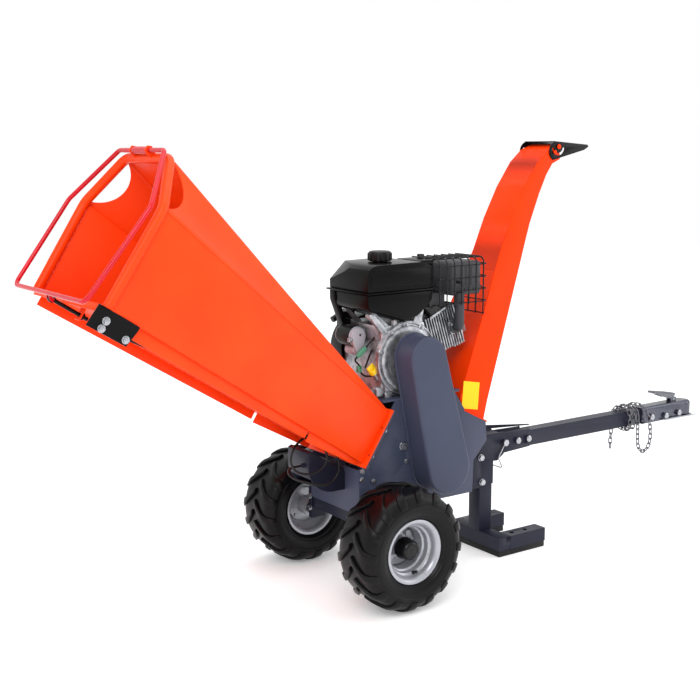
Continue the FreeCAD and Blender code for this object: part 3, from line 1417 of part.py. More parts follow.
def make_switch_cable():
    """Cable from the stop switch, clipped under the hopper floor, in two slack loops to the battery box."""
    edges = []
    start = cable_route[0]
    for i in range(1, len(cable_route) - 1):
        before = cable_route[i - 1] - cable_route[i]
        after = cable_route[i + 1] - cable_route[i]
        reach = 0.45 * min(before.Length, after.Length)
        before.normalize()
        after.normalize()
        half = before.getAngle(after) / 2
        radius = reach * math.tan(half)
        print("cable bend %2d: radius %.0f" % (i, radius))
        enter = cable_route[i] + before * reach
        leave = cable_route[i] + after * reach
        middle = cable_route[i] + (before + after).normalize() * (radius / math.sin(half) - radius)
        edges.append(Part.LineSegment(start, enter).toShape())
        edges.append(Part.Arc(enter, middle, leave).toShape())
        start = leave
    edges.append(Part.LineSegment(start, cable_route[-1]).toShape())
    wire = Part.Wire(edges)
    tube = sweep_round(wire, cable_r)
    ratio = tube.Volume / (math.pi * cable_r ** 2 * wire.Length)
    print("cable length %.0f, volume to section times length %.4f" % (wire.Length, ratio))
    return tube


def make_cable_clips():
    """Saddles that hold four runs of the cable under the hopper floor."""
    clips = []
    for i in (3, 4, 5, 20):
        a = cable_route[i]
        along = (cable_route[i + 1] - a).normalize()
        middle = (a + cable_route[i + 1]) * 0.5
        depth = -(middle - throat).dot(W)
        side = along.cross(W).normalize()
        top = depth - weld
        corner = middle - along * 6 - side * (cable_r + 4) - W * (cable_r + 3)
        face = polygon([corner, corner + side * (2 * cable_r + 8),
                        corner + side * (2 * cable_r + 8) + W * (top + cable_r + 3),
                        corner + W * (top + cable_r + 3)])
        clip = face.extrude(along * 12)
        hole = Part.makeCylinder(cable_r + fit, 40, middle - along * 20, along)
        clips.append(clip.cut(hole))
    return clips


# ---------------------------------------------------------------- stand
def make_post():
    """Square post under the front of the housing."""
    half = post_w / 2
    z0 = pad_t + foot_h
    outer = box(post_x - half, post_x + half, -half, half, z0, post_top)
    inner = box(post_x - half + post_wall, post_x + half - post_wall, -half + post_wall, half - post_wall,
                z0 - 1, post_top + 1)
    return drill_across(outer.cut(inner))


def drill_across(shape):
    """Holes of the cheek bolts, right through the stand."""
    for x, z in cheek_bolts:
        shape = shape.cut(cyl_y(x, z, 6 + press, -100, 100))
    return shape


def make_stub():
    """Tube welded on the housing's front wall that the stand bolts to."""
    half = post_w / 2
    x0 = housing_front + weld
    x1 = post_x - half - seat
    outer = box(x0, x1, -half, half, stub_low, stub_top)
    inner = box(x0 - 1, x1 + 1, -half + post_wall, half - post_wall, stub_low + post_wall,
                stub_top - post_wall)
    gusset = box(x0, x0 + 6, -half - 30, half + 30, housing_bottom + 2, stub_top)
    return drill_across(union([outer, gusset]).cut(inner))


def make_foot():
    """Cross tube with two forward legs, each leg with two anchor holes."""
    z0, z1 = pad_t, pad_t + foot_h
    x0 = post_x - 28
    x1 = post_x + 28
    cross = box(x0, x1, -foot_half, foot_half, z0, z1)
    cross = cross.cut(box(x0 + 3, x1 - 3, -foot_half + 3, foot_half - 3, z0 + 3, z1 - 3))
    leg = box(x1, foot_front, -foot_half, -foot_half + foot_leg_w, z0, z1)
    leg = leg.cut(box(x1 + 3, foot_front - 3, -foot_half + 3, -foot_half + foot_leg_w - 3, z0 + 3, z1 - 3))
    y = -foot_half + foot_leg_w / 2
    for x in foot_hole_x:
        leg = leg.cut(cyl_z(x, y, foot_hole_r, z0 - 1, z1 + 1))
    return [cross] + pair(leg)


def make_pads():
    """Rubber blocks under the cross tube and the legs."""
    x0 = post_x - 28
    x1 = post_x + 28
    cross = box(x0, x1 - 0.2, -foot_half, foot_half, 0, pad_t)
    leg = box(x1, foot_front - 4, -foot_half, -foot_half + foot_leg_w, 0, pad_t)
    y = -foot_half + foot_leg_w / 2
    for x in foot_hole_x:
        leg = leg.cut(cyl_z(x, y, foot_hole_r, -1, pad_t + 1))
    return [cross] + pair(leg)


# ---------------------------------------------------------------- tow gear
def make_receiver():
    """Cheeks that clamp post and stub, ears for the tow pin, and the stop web over them."""
    y0 = -cheek_in - cheek_t
    half = post_w / 2
    top = 433.0
    cheek = prism_y([(526, 246), (post_x + half, 246), (post_x + half, 330), (650, 328), (tow_pin_x, 350),
                     (tow_pin_x + 14, 378), (tow_pin_x + 14, 408), (tow_pin_x - 4, top), (540, top),
                     (526, 400)], y0, -cheek_in)
    cheek = drill_across(cheek.cut(cyl_y(tow_pin_x, tow_pin_z, tow_pin_r + fit, -100, 0)))
    far = mirror_y(cheek)
    brow = prism_y([(560, top), (tow_pin_x - 4, top), (tow_pin_x + 190, tow_bar_z + 32),
                    (tow_pin_x + 190, tow_bar_z + 36), (600, top + 22), (560, top + 22)],
                   cheek_in, cheek_in + cheek_t)
    web = box(post_x - half, tow_pin_x - 20, -cheek_in - 0.1, cheek_in + 0.1, top - 5, top)
    return union([cheek, far, brow, web])


def make_tow_bar():
    """Drawbar tube with its two hinge plates."""
    half = tow_bar_w / 2
    z0 = tow_bar_z - tow_bar_h / 2
    z1 = tow_bar_z + tow_bar_h / 2
    tube = box(tow_bar_rear, tow_bar_front, -half, half, z0, z1)
    w = tow_bar_wall
    tube = tube.cut(box(tow_bar_rear - 1, tow_bar_front + 1, -half + w, half - w, z0 + w, z1 - w))
    rear = tow_pin_x - 44
    hinge = prism_y([(rear, tow_pin_z - 4), (rear + 42, z0 - 8), (818, z0 - 1), (818, z1 + 6),
                     (tow_pin_x - 10, 427.7), (rear, 427.7)], -half - tow_plate_t, -half)
    hinge = hinge.cut(cyl_y(tow_pin_x, tow_pin_z, tow_pin_r + fit, -100, 0))
    saddle = box(rear, rear + 30, -half, half, 427.7 - 5, 427.7)
    bar = union([tube, saddle] + pair(hinge))
    for x in tow_bolt_xs:
        bar = bar.cut(cyl_y(x, tow_bolt_z, tow_bolt / 2 + press, -100, 100))
    for x, z in coupler_bolts:
        bar = bar.cut(cyl_y(x, z, tow_bolt / 2 + press, -100, 100))
    return bar


def make_tow_bolts():
    """Bolts through tube and hinge plates, flush on the left so that they pass the brow."""
    half = tow_bar_w / 2 + tow_plate_t
    return [bolt(V(x, -half, tow_bolt_z), V(0, -1, 0), tow_bolt, 2 * half) for x in tow_bolt_xs]


def make_coupler_bolts():
    """Bolts through the coupler's sides, from both sides."""
    half = tow_bar_w / 2 + seat + coupler_t
    pieces = []
    for x, z in coupler_bolts:
        for hand in (-1, 1):
            pieces.append(bolt(V(x, hand * half, z), V(0, hand, 0), tow_bolt, 10))
    return pieces


def make_hitch_pin():
    """Tow pin with its wire bail hanging under the hinge."""
    reach = cheek_in + cheek_t
    pin = cyl_y(tow_pin_x, tow_pin_z, tow_pin_r, -reach - 8, reach + 14)
    head = cyl_y(tow_pin_x, tow_pin_z, tow_pin_r + 4, -reach - 14, -reach - 1)
    y_near = -reach - 8
    y_far = reach + 9
    lower = V(0, 0, -96)
    back = V(-34, 0, -52)
    start = V(tow_pin_x, y_near, tow_pin_z)
    end = V(tow_pin_x, y_far, tow_pin_z)
    path = [start, start + back, start + lower + V(-8, 6, 0), end + lower + V(-8, -6, 0), end + back, end]
    wire = sweep_round(bent_wire(path, 14), 2.4)
    return union([pin, head, wire])


def make_coupler():
    """Folded coupler housing over the drawbar's end with its ball socket."""
    half = tow_bar_w / 2 + seat + coupler_t
    z0 = tow_bar_z - tow_bar_h / 2 - 2
    z1 = tow_bar_z + tow_bar_h / 2 + seat + coupler_t
    x0 = coupler_rear
    shell = box(x0, ball_x + 10, -half, half, z0, z1)
    rim = [e for e in shell.Edges if e.BoundBox.XLength > 100 and e.BoundBox.ZMin > 400]
    shell = shell.makeFillet(7, rim)
    nose = cyl_z(ball_x, 0, half + 5, z0, z1 - 2)
    nose = nose.makeFillet(12, [e for e in nose.Edges if e.BoundBox.ZMin > z1 - 3])
    flare = cyl_z(ball_x, 0, half + 14, z0, z0 + 4)
    body = union([shell, nose, flare])
    inside = box(x0 - 1, ball_x - 34, -half + coupler_t, half - coupler_t, z0 - 1, z1 - coupler_t)
    body = body.cut(inside)
    socket = Part.makeSphere(ball_r, V(ball_x, 0, z0 + 24))
    throat_cyl = cyl_z(ball_x, 0, ball_r, z0 - 1, z0 + 24)
    body = body.cut(socket).cut(throat_cyl)
    gap = latch_w / 2 + seat
    ears = box(latch_x - 16, latch_x + 16, -gap - 6, gap + 6, z1 - 0.5, z1 + 16)
    slot = box(latch_x - 20, latch_x + 20, -gap, gap, z1 + 0.5, z1 + 20)
    body = body.fuse(ears.cut(slot))
    body = body.cut(cyl_y(latch_x, latch_z, latch_pin_r + fit, -30, 30))
    for x, z in coupler_bolts:
        body = body.cut(cyl_y(x, z, tow_bolt / 2 + press, -100, 100))
    return body.removeSplitter()


def make_latch():
    """Latch lever pivoted between the coupler's ears."""
    half = latch_w / 2
    x, z = latch_x, latch_z
    hub = cyl_y(x, z, 8, -half, half)
    arm = prism_y([(x - 6, z + 4), (x + 8, z), (x + 17, z + 14), (x + 15, z + 21), (x - 30, z + 26),
                   (x - 128, z + 42), (x - 132, z + 38), (x - 90, z + 26), (x - 26, z + 14)], -half, half)
    thumb = prism_y([(x - 132, z + 38), (x - 128, z + 42), (x - 80, z + 36), (x - 78, z + 30)], -15, 15)
    pin = cyl_y(x, z, latch_pin_r, -half - 8, half + 8)
    return union([hub, arm, thumb, pin])


def round_bar(x, eighth):
    """Point of a turn of chain round the drawbar, counted in eighths from its right-hand side."""
    y = (-43.0, -33.5, 0.0, 33.5, 43.0, 33.5, 0.0, -33.5)[eighth % 8]
    z = (0.0, 38.5, 47.0, 38.5, 0.0, -38.5, -47.0, -38.5)[eighth % 8]
    return V(x, y, tow_bar_z + z)


def chain_path():
    """From a bolt on the bar over its top, down a loop, twice round the bar and down again."""
    path = [V(1422, 43, 366), V(1424, 43, 388), V(1426, 34.5, 427), V(1430, 0, 437), V(1438, -36, 429),
            V(1456, -48, 388), V(1470, -48, 340), V(1473, -47, 294), V(1458, -47, 258), V(1430, -47, 246),
            V(1404, -47, 268), V(1398, -46, 316)]
    path += [round_bar(1398 - 2.7 * i, i) for i in range(21)]
    last = path[-1]
    path += [last + V(-2, 2, -50), last + V(-4, 3, -110), last + V(-4, 3, -150)]
    return path


def chain_stations():
    """Centres and headings of the links, evenly spaced along the route."""
    curve = Part.BSplineCurve()
    curve.interpolate(chain_path())
    edge = curve.toShape()
    count = int(edge.Length // chain_pitch) + 1
    points = edge.discretize(Number=400)
    stations = [points[0]]
    for p in points[1:]:
        if (p - stations[-1]).Length >= chain_pitch and len(stations) < count:
            last = stations[-1]
            stations.append(last + (p - last).normalize() * chain_pitch)
    return stations


def make_chain():
    """Safety chain of welded oval links, each turned a quarter from the last."""
    stations = chain_stations()
    links = []
    frame_up = V(0, 0, 1)
    for i in range(len(stations) - 1):
        along = (stations[i + 1] - stations[i]).normalize()
        across = frame_up - along * frame_up.dot(along)
        if across.Length < 0.2:
            across = V(1, 0, 0) - along * along.x
        across.normalize()
        frame_up = across
        turn = 45 if i % 2 else -45
        plane = FreeCAD.Rotation(along, turn).multVec(across)
        middle = (stations[i] + stations[i + 1]) * 0.5
        half_l = chain_pitch / 2 + chain_wire_r + chain_play
        p = []
        for a, b in ((-half_l, -1), (half_l, -1), (half_l, 1), (-half_l, 1)):
            p.append(middle + along * a + plane * (b * chain_half_w))
        links.append(sweep_round(bent_wire(p, chain_half_w * 0.96, True), chain_wire_r))
    return links


# ---------------------------------------------------------------- bolts of the frame
def make_fasteners():
    """Bolts of the housing, hopper, axle, stand and engine."""
    bolts = []
    for x, z, size in side_bolts:
        for hand in (-1, 1):
            bolts.append(bolt(V(x, hand * side_y, z), V(0, hand, 0), size, sheet - 0.5))
    for x, y in engine_feet():
        bolts.append(bolt(V(x, y, deck_z + deck_t + 12), V(0, 0, 1), engine_bolt, deck_t + 11))
    for x, z in cheek_bolts:
        for hand in (-1, 1):
            bolts.append(bolt(V(x, hand * (cheek_in + cheek_t), z), V(0, hand, 0), 12, cheek_t + post_wall))
    for hand in (-1, 1):
        for z in axle_bolt_zs:
            foot = V(beam_x - beam_h / 2 - 4, hand * (beam_half + spindle_plate_t / 2), z)
            bolts.append(bolt(foot, V(-1, 0, 0), 10, 14))
    return bolts


# ---------------------------------------------------------------- write the nodes
beam, beam_half = make_axle_beam()
spindle = make_spindle(beam_half)
save("axle_beam", beam)
save("wheel_spindles", *pair(spindle))
rim = make_rim()
hub = make_hub()
cap = make_hub_cap()
for side_name, hand in (("left", 1), ("right", -1)):
    save("tyre_" + side_name, make_tyre(hand))
    save("rim_" + side_name, place_wheel(rim, hand))
    save("hub_" + side_name, place_wheel(hub, hand))
    save("hub_cap_" + side_name, place_wheel(cap, hand))

save("housing_sides", *make_housing_sides())
save("housing_shell", *make_housing_shell())
save("bed_knife", *make_bed_knife())
save("engine_deck", make_deck())
save("rotor_drum", make_rotor())
save("chipper_knives", *make_knives())
save("rotor_shaft", make_rotor_shaft())
save("rotor_bearings", *make_bearings())
save("driven_pulley", grooved_pulley(rotor_x, rotor_z, pulley_r, rotor_shaft_r, rotor_shaft_r + 14))
save("drive_clutch", grooved_pulley(crank_x, crank_z, clutch_r, crank_r, crank_r + 12))
save("drive_belts", *make_belts())
save("belt_guard_cover", make_guard_cover())
save("belt_guard_back", make_guard_back())

save("hopper_floor", *make_hopper_floor(), make_rod_guide(), *make_cable_clips())
save("hopper_sides", *make_hopper_sides())
save("hopper_roof", *make_hopper_roof())
save("hopper_rim", make_hopper_rim())
save("corner_plate", *make_corner_plate())
save("stop_bar", make_stop_bar())
save("push_rod", make_push_rod())
save("stop_switch", make_stop_switch())

save("chute", *make_chute(), *make_deflector_pins())
save("chute_deflector", make_deflector())

save("engine_crankcase", make_crankcase())
save("engine_crankshaft", make_crankshaft())
save("engine_cylinder", *make_cylinder(), *make_tank_brackets())
save("blower_housing", make_blower())
save("recoil_starter", make_recoil())
save("recoil_handle", make_recoil_handle())
save("starter_motor", make_starter_motor())
save("fuel_tank", make_tank())
save("fuel_cap", make_fuel_cap())
save("air_cleaner", make_air_cleaner())
save("muffler", make_muffler())
save("muffler_guard", make_muffler_guard())
save("oil_dipstick", make_dipstick())
save("throttle_lever", make_throttle())
save("battery_box", make_battery_box())
save("switch_cable", make_switch_cable())
save("frame_fasteners", *make_fasteners())

save("stand_post", make_post())
save("stand_stub", make_stub())
save("stand_foot", *make_foot())
save("stand_pads", *make_pads())
save("tow_receiver", make_receiver())
save("tow_bar", make_tow_bar(), *make_tow_bolts())
save("hitch_pin", make_hitch_pin())
save("coupler_body", make_coupler(), *make_coupler_bolts())
save("coupler_latch", make_latch())
save("safety_chain", *make_chain())
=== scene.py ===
"""Dressed model of a towable petrol wood chipper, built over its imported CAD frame."""
import json
import logging
import math
from dataclasses import astuple, dataclass
from enum import Enum
from typing import Callable, ClassVar, Sequence

import bpy
from mathutils import Matrix, Vector

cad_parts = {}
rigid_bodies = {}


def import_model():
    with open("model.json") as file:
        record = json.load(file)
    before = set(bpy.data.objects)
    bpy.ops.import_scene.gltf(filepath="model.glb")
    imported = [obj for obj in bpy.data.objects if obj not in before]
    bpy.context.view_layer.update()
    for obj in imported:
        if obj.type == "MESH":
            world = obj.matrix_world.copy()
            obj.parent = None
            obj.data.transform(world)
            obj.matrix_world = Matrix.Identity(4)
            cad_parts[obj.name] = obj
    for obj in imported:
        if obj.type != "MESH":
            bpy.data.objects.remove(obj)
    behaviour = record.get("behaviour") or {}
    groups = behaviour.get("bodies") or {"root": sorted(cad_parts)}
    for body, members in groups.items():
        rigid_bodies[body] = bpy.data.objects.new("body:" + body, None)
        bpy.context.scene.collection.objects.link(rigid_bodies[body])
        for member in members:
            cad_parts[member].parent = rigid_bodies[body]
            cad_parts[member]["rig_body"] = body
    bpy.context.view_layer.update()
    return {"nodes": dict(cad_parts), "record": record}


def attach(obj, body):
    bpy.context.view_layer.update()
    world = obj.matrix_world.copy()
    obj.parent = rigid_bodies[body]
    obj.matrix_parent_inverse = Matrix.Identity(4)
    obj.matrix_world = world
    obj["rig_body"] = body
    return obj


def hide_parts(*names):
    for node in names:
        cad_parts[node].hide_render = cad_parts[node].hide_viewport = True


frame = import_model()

LOG = logging.getLogger("chipper")
MM = 0.001
WELD = 0.01 * MM

Point = tuple[float, float, float]
Flat = tuple[float, float]
Colour = tuple[float, float, float, float]
Piece = bpy.types.Object
Tree = bpy.types.NodeTree
Node = bpy.types.Node
Socket = bpy.types.NodeSocket

ORIGIN: Point = (0.0, 0.0, 0.0)
NEAR: Point = (0.0, -1.0, 0.0)
FAR: Point = (0.0, 1.0, 0.0)
UP: Point = (0.0, 0.0, 1.0)
WHITE: Colour = (1.0, 1.0, 1.0, 1.0)


# ---------------------------------------------------------------- colours and nodes
def linear(code: str) -> Colour:
    """Turn an sRGB hex colour into the linear values that a shader takes.

    Args:
        code: Colour as "#rrggbb".

    Returns:
        Red, green, blue and an alpha of 1.
    """
    parts = [int(code[i:i + 2], 16) / 255 for i in (1, 3, 5)]
    red, green, blue = (c / 12.92 if c <= 0.04045 else ((c + 0.055) / 1.055) ** 2.4 for c in parts)
    return red, green, blue, 1.0


def add_node(tree: Tree, kind: str, settings: dict | None = None,
             inputs: dict | None = None, stops: Sequence[tuple[float, str]] = ()) -> Node:
    """Add one shader node with its settings, its socket values and its links.

    Args:
        tree: Node tree of the material.
        kind: Blender's name of the node type.
        settings: Attributes of the node itself.
        inputs: Socket name or number to a value, or to an output socket that is linked to it.
        stops: Places and sRGB colours of a colour ramp, in rising order.

    Returns:
        The new node.
    """
    node = tree.nodes.new(kind)
    for name, value in (settings or {}).items():
        setattr(node, name, value)
    for name, value in (inputs or {}).items():
        if isinstance(value, Socket):
            tree.links.new(value, node.inputs[name])
        else:
            node.inputs[name].default_value = value
    for index, (place, colour) in enumerate(stops):
        elements = node.color_ramp.elements
        element = elements[index] if index < 2 else elements.new(place)
        element.position = place
        element.color = linear(colour)
    return node


@dataclass(frozen=True)
class Cloud:
    """Soft pattern along which a finish drifts between its two colours.

    Attributes:
        size_mm: Size of its patches, 0 for the finish's own grain.
        detail: Octaves of its noise.
        rough: Weight of the finer octaves.
        low: Level up to which the first colour holds.
        high: Level from which the second colour holds.
        tint_first: Start from the tint instead of the shade.
    """

    size_mm: float = 160.0
    detail: float = 3.0
    rough: float = 0.5
    low: float = 0.35
    high: float = 0.7
    tint_first: bool = False


@dataclass(frozen=True)
class Finish:
    """A surface, with the sizes that its making leaves on it.

    Attributes:
        name: Material's name, what the real thing is.
        shade: sRGB colour.
        tint: sRGB colour that large soft patches drift towards.
        roughness: Mean roughness.
        spread: How far the roughness wanders.
        metallic: 1 for bare metal.
        grain_mm: Size of the surface's grain.
        relief_mm: Height of that grain.
        coat: Weight of a clear coat.
        specular: Specular level, 0.5 for the default.
        glow: Strength of its own light, for the lit studio floor only.
        cloud: Pattern of its colour, shared by the finishes of one kind.
        gloss_mm: Size of the patches that its roughness wanders in.
    """

    name: str
    shade: str
    tint: str
    roughness: float
    spread: float = 0.05
    metallic: float = 0.0
    grain_mm: float = 1.2
    relief_mm: float = 0.02
    coat: float = 0.0
    specular: float = 0.5
    glow: float = 0.0
    cloud: ClassVar[Cloud] = Cloud()
    gloss_mm: ClassVar[float] = 60.0

    def start(self) -> tuple[bpy.types.Material, Tree, Node, Socket]:
        """Make the material with its plain shader settings.

        Returns:
            The material, its node tree, its shader node and the socket of object coordinates.
        """
        material = bpy.data.materials.new(self.name)
        material.use_nodes = True
        tree = material.node_tree
        shader = tree.nodes["Principled BSDF"]
        shader.inputs["Metallic"].default_value = self.metallic
        if self.metallic < 1.0:
            shader.inputs["Specular IOR Level"].default_value = self.specular
        if self.glow:
            shader.inputs["Emission Color"].default_value = WHITE
            shader.inputs["Emission Strength"].default_value = self.glow
        if self.coat:
            shader.inputs["Coat Weight"].default_value = self.coat
            shader.inputs["Coat Roughness"].default_value = 0.08
        coords = add_node(tree, "ShaderNodeTexCoord").outputs["Object"]
        return material, tree, shader, coords

    def patches(self, tree: Tree, coords: Socket) -> Socket:
        """Let the colour drift softly between the shade and the tint.

        Args:
            tree: Node tree of the material.
            coords: Object coordinates.

        Returns:
            The colour.
        """
        cloud = self.cloud
        noise = add_node(tree, "ShaderNodeTexNoise",
                         inputs={"Vector": coords, "Scale": 1 / ((cloud.size_mm or self.grain_mm) * MM),
                                 "Detail": cloud.detail, "Roughness": cloud.rough})
        colours = (self.tint, self.shade) if cloud.tint_first else (self.shade, self.tint)
        blend = add_node(tree, "ShaderNodeValToRGB", inputs={"Fac": noise.outputs["Fac"]},
                         stops=tuple(zip((cloud.low, cloud.high), colours)))
        return blend.outputs["Color"]

    def gloss(self, tree: Tree, coords: Socket) -> Socket:
        """Let the roughness wander a little about its mean.

        Args:
            tree: Node tree of the material.
            coords: Object coordinates.

        Returns:
            The roughness.
        """
        noise = add_node(tree, "ShaderNodeTexNoise",
                         inputs={"Vector": coords, "Scale": 1 / (self.gloss_mm * MM), "Detail": 4.0})
        low, high = self.roughness - self.spread, self.roughness + self.spread
        span = add_node(tree, "ShaderNodeMapRange",
                        inputs={"Value": noise.outputs["Fac"], "From Min": 0.3, "From Max": 0.7,
                                "To Min": low, "To Max": high})
        return span.outputs["Result"]

    def relief(self, tree: Tree, coords: Socket, size_mm: float, detail: float, height_mm: float,
               strength: float, under: Socket | None = None) -> Socket:
        """Raise one layer of noise as a bump.

        Args:
            tree: Node tree of the material.
            coords: Object coordinates.
            size_mm: Size of the noise's lumps.
            detail: Octaves of the noise.
            height_mm: Height of the lumps.
            strength: Share of the bump that shows.
            under: Normal of the layer below, if there is one.

        Returns:
            The raised normal.
        """
        noise = add_node(tree, "ShaderNodeTexNoise",
                         inputs={"Vector": coords, "Scale": 1 / (size_mm * MM), "Detail": detail})
        inputs = {"Height": noise.outputs["Fac"], "Distance": height_mm * MM, "Strength": strength}
        if under is not None:
            inputs["Normal"] = under
        return add_node(tree, "ShaderNodeBump", inputs=inputs).outputs["Normal"]

    def grain(self, tree: Tree, coords: Socket) -> Socket:
        """Normal of the surface's fine grain."""
        return self.relief(tree, coords, self.grain_mm, 2.0, self.relief_mm, 1.0)

    def build(self) -> bpy.types.Material:
        """Link colour patches, wandering gloss and grain into one material.

        Returns:
            The material.
        """
        material, tree, shader, coords = self.start()
        tree.links.new(self.patches(tree, coords), shader.inputs["Base Color"])
        tree.links.new(self.gloss(tree, coords), shader.inputs["Roughness"])
        tree.links.new(self.grain(tree, coords), shader.inputs["Normal"])
        return material


# ---------------------------------------------------------------- finishes of this machine
@dataclass(frozen=True)
class PowderCoat(Finish):
    """Baked powder paint on sheet steel: orange peel a few millimetres across under a soft gloss."""

    wave_mm: ClassVar[float] = 220.0
    wave_height_mm: ClassVar[float] = 1.2

    def grain(self, tree: Tree, coords: Socket) -> Socket:
        """Normal of the orange peel, over the long waves of the sheet itself."""
        wave = self.relief(tree, coords, self.wave_mm, 1.0, self.wave_height_mm, 0.5)
        return self.relief(tree, coords, self.grain_mm, 1.0, self.relief_mm, 0.6, wave)


@dataclass(frozen=True)
class MouldedRubber(Finish):
    """Tyre, pad and belt rubber: chalky black with dull scuffs from the mould and the ground."""

    cloud: ClassVar[Cloud] = Cloud(45.0, 6.0, 0.65, 0.42, 0.72)


@dataclass(frozen=True)
class CastMetal(Finish):
    """Die cast metal: a cloudy, grainy skin, darker where oil and dust settle."""

    cloud: ClassVar[Cloud] = Cloud(28.0, 5.0, 0.6, 0.36, 0.62, True)


@dataclass(frozen=True)
class BrightMetal(Finish):
    """Plated or machined steel: a fine directionless satin that also breaks up the gloss."""

    cloud: ClassVar[Cloud] = Cloud(0.0, 4.0, 0.5, 0.3, 0.65, True)
    gloss_mm: ClassVar[float] = 8.0


class Paints(Enum):
    """Finishes used on the machine, each named for the real material."""

    # powder coat on the hopper's sheet: saturated orange, soft gloss
    HOPPER_ORANGE = PowderCoat("powder coated steel orange", "#f5440a", "#ee3d06", 0.42, 0.03, grain_mm=3.0,
                               relief_mm=0.03, specular=0.18)
    # the chute's sheet comes from another batch, a little redder
    CHUTE_ORANGE = PowderCoat("powder coated steel red orange", "#f53a00", "#ee3500", 0.44, 0.03,
                              grain_mm=3.0, relief_mm=0.03, specular=0.08)
    # stoved gloss enamel on the stop bar: sharp highlights along the tube
    BAR_CRIMSON = PowderCoat("enamelled steel crimson", "#c8041c", "#b80318", 0.25, 0.03, grain_mm=2.0,
                             relief_mm=0.01, coat=0.15, specular=0.3)
    # powder coat of housing and guard: even blue grey with a faint orange peel
    SLATE = PowderCoat("powder coated steel slate", "#3f4458", "#3b4053", 0.4, 0.03, grain_mm=2.5,
                       relief_mm=0.03, specular=0.22)
    # powder coat of stand, axle, drawbar and battery box: the same peel, nearly navy
    DARK_SLATE = PowderCoat("powder coated steel dark slate", "#212332", "#1e202e", 0.38, 0.03,
                            grain_mm=2.5, relief_mm=0.03, specular=0.18)
    # powder coat of deflector, corner plate and rod: near black, low sheen
    BLACK_COAT = PowderCoat("powder coated steel black", "#08080a", "#060608", 0.36, 0.04, grain_mm=2.0,
                            relief_mm=0.02, specular=0.14)
    # gloss enamel of the fuel tank: deep black that mirrors its surroundings
    TANK_ENAMEL = PowderCoat("enamelled steel black", "#040405", "#060607", 0.26, 0.03, grain_mm=4.0,
                             relief_mm=0.01, coat=0.02, specular=0.1)
    # aluminium flake paint of rims and hubs: half metallic, soft highlights
    RIM_SILVER = PowderCoat("silver painted steel", "#abadb3", "#9fa1a8", 0.3, 0.05, 0.45, grain_mm=1.5,
                            relief_mm=0.01)
    # vulcanised rubber: black under a chalky bloom
    TYRE = MouldedRubber("vulcanised tyre rubber", "#050507", "#09090c", 0.34, 0.07, grain_mm=1.5,
                         relief_mm=0.05, specular=0.17)
    # solid rubber of the foot's pads: duller and more scuffed than the tyres
    PAD = MouldedRubber("moulded rubber black", "#0c0c0e", "#151517", 0.6, 0.06, grain_mm=2.0,
                        relief_mm=0.05, specular=0.3)
    # fabric faced rubber of the V belts: flat dark grey
    BELT = MouldedRubber("belt rubber", "#101011", "#1c1c1d", 0.6, 0.06, grain_mm=1.0, relief_mm=0.03,
                         specular=0.3)
    # extruded jacket of cable and leads: nearly smooth, soft shine
    CABLE = Finish("soft pvc black", "#0a0a0c", "#0f0f11", 0.42, 0.05, grain_mm=1.5, relief_mm=0.01,
                   specular=0.3)
    # spark eroded mould texture of covers, caps and grips: a fine matt grain; also the dark blocks painted as
    # shade in the rim disc's holes
    ABS_BLACK = Finish("moulded abs black", "#0b0b0d", "#0f0f12", 0.4, 0.06, grain_mm=0.9, relief_mm=0.03,
                       specular=0.25)
    # polished mould of hub caps, rocker plate and screw: smooth and mirror black
    ABS_GLOSS = Finish("polished abs black", "#040405", "#060607", 0.2, 0.04, grain_mm=6.0, relief_mm=0.01,
                       specular=0.3)
    # dyed nylon of the oil plug: solid yellow with a waxy gloss
    NYLON_YELLOW = Finish("moulded nylon yellow", "#f4d21c", "#ecc614", 0.4, 0.04, grain_mm=0.8,
                          relief_mm=0.01)
    # dyed nylon of the lead connectors: solid sea green
    NYLON_GREEN = Finish("moulded nylon green", "#5fa888", "#4c9070", 0.4, 0.04, grain_mm=0.8,
                         relief_mm=0.01)
    # die cast aluminium of crankcase, cylinder and cover: cloudy grey with bright edges; also the painted
    # highlight on the rocker plate's front edge
    CAST = CastMetal("die cast aluminium", "#c2c4c8", "#85878d", 0.38, 0.08, 0.8, grain_mm=1.0,
                     relief_mm=0.05)
    # stoved paint of the starter motor: pale even grey
    PALE_GREY = PowderCoat("painted steel light grey", "#b0b1ba", "#a6a7b0", 0.4, 0.05, grain_mm=1.5,
                           relief_mm=0.01, specular=0.3)
    # stoved heat paint of muffler and pipe: flat, dusty charcoal
    HEAT_BLACK = Finish("heat paint black", "#37373b", "#444448", 0.5, 0.07, grain_mm=1.0, relief_mm=0.03,
                        specular=0.3)
    # plastic dipped wire of the muffler's guard: smooth black with a thin highlight
    WIRE_BLACK = Finish("dipped wire black", "#08080a", "#0e0e11", 0.38, 0.05, grain_mm=1.0, relief_mm=0.01,
                        specular=0.3)
    # bright zinc of bolts, hitch pin and latch: satin with cool highlights; also the strip painted along the
    # coupler's flange as a highlight
    ZINC = BrightMetal("bright zinc plated steel", "#bfc1c6", "#85888e", 0.3, 0.08, 1.0, grain_mm=1.2,
                       relief_mm=0.01)
    # weathered galvanising of chain and latch lever: duller than the bolts
    CHAIN = BrightMetal("galvanised steel chain", "#84858b", "#4f5055", 0.36, 0.08, 1.0, grain_mm=1.5,
                        relief_mm=0.02)
    # phosphated steel of the coupler: dark satin
    GUNMETAL = BrightMetal("phosphated steel", "#63656f", "#4c4e57", 0.27, 0.08, 1.0, grain_mm=2.0,
                           relief_mm=0.02)
    # turned and ground steel of knives and shafts: fine bright grain
    GROUND = BrightMetal("ground tool steel", "#a4a6ab", "#75777c", 0.3, 0.06, 1.0, grain_mm=0.8,
                         relief_mm=0.01)
    # sand cast iron of drum, bearings and pulleys: coarse dark skin; also laid on the case cover's recess as
    # painted shade
    IRON = CastMetal("grey cast iron", "#5b5c60", "#3b3c40", 0.5, 0.06, 0.7, grain_mm=1.5, relief_mm=0.06)
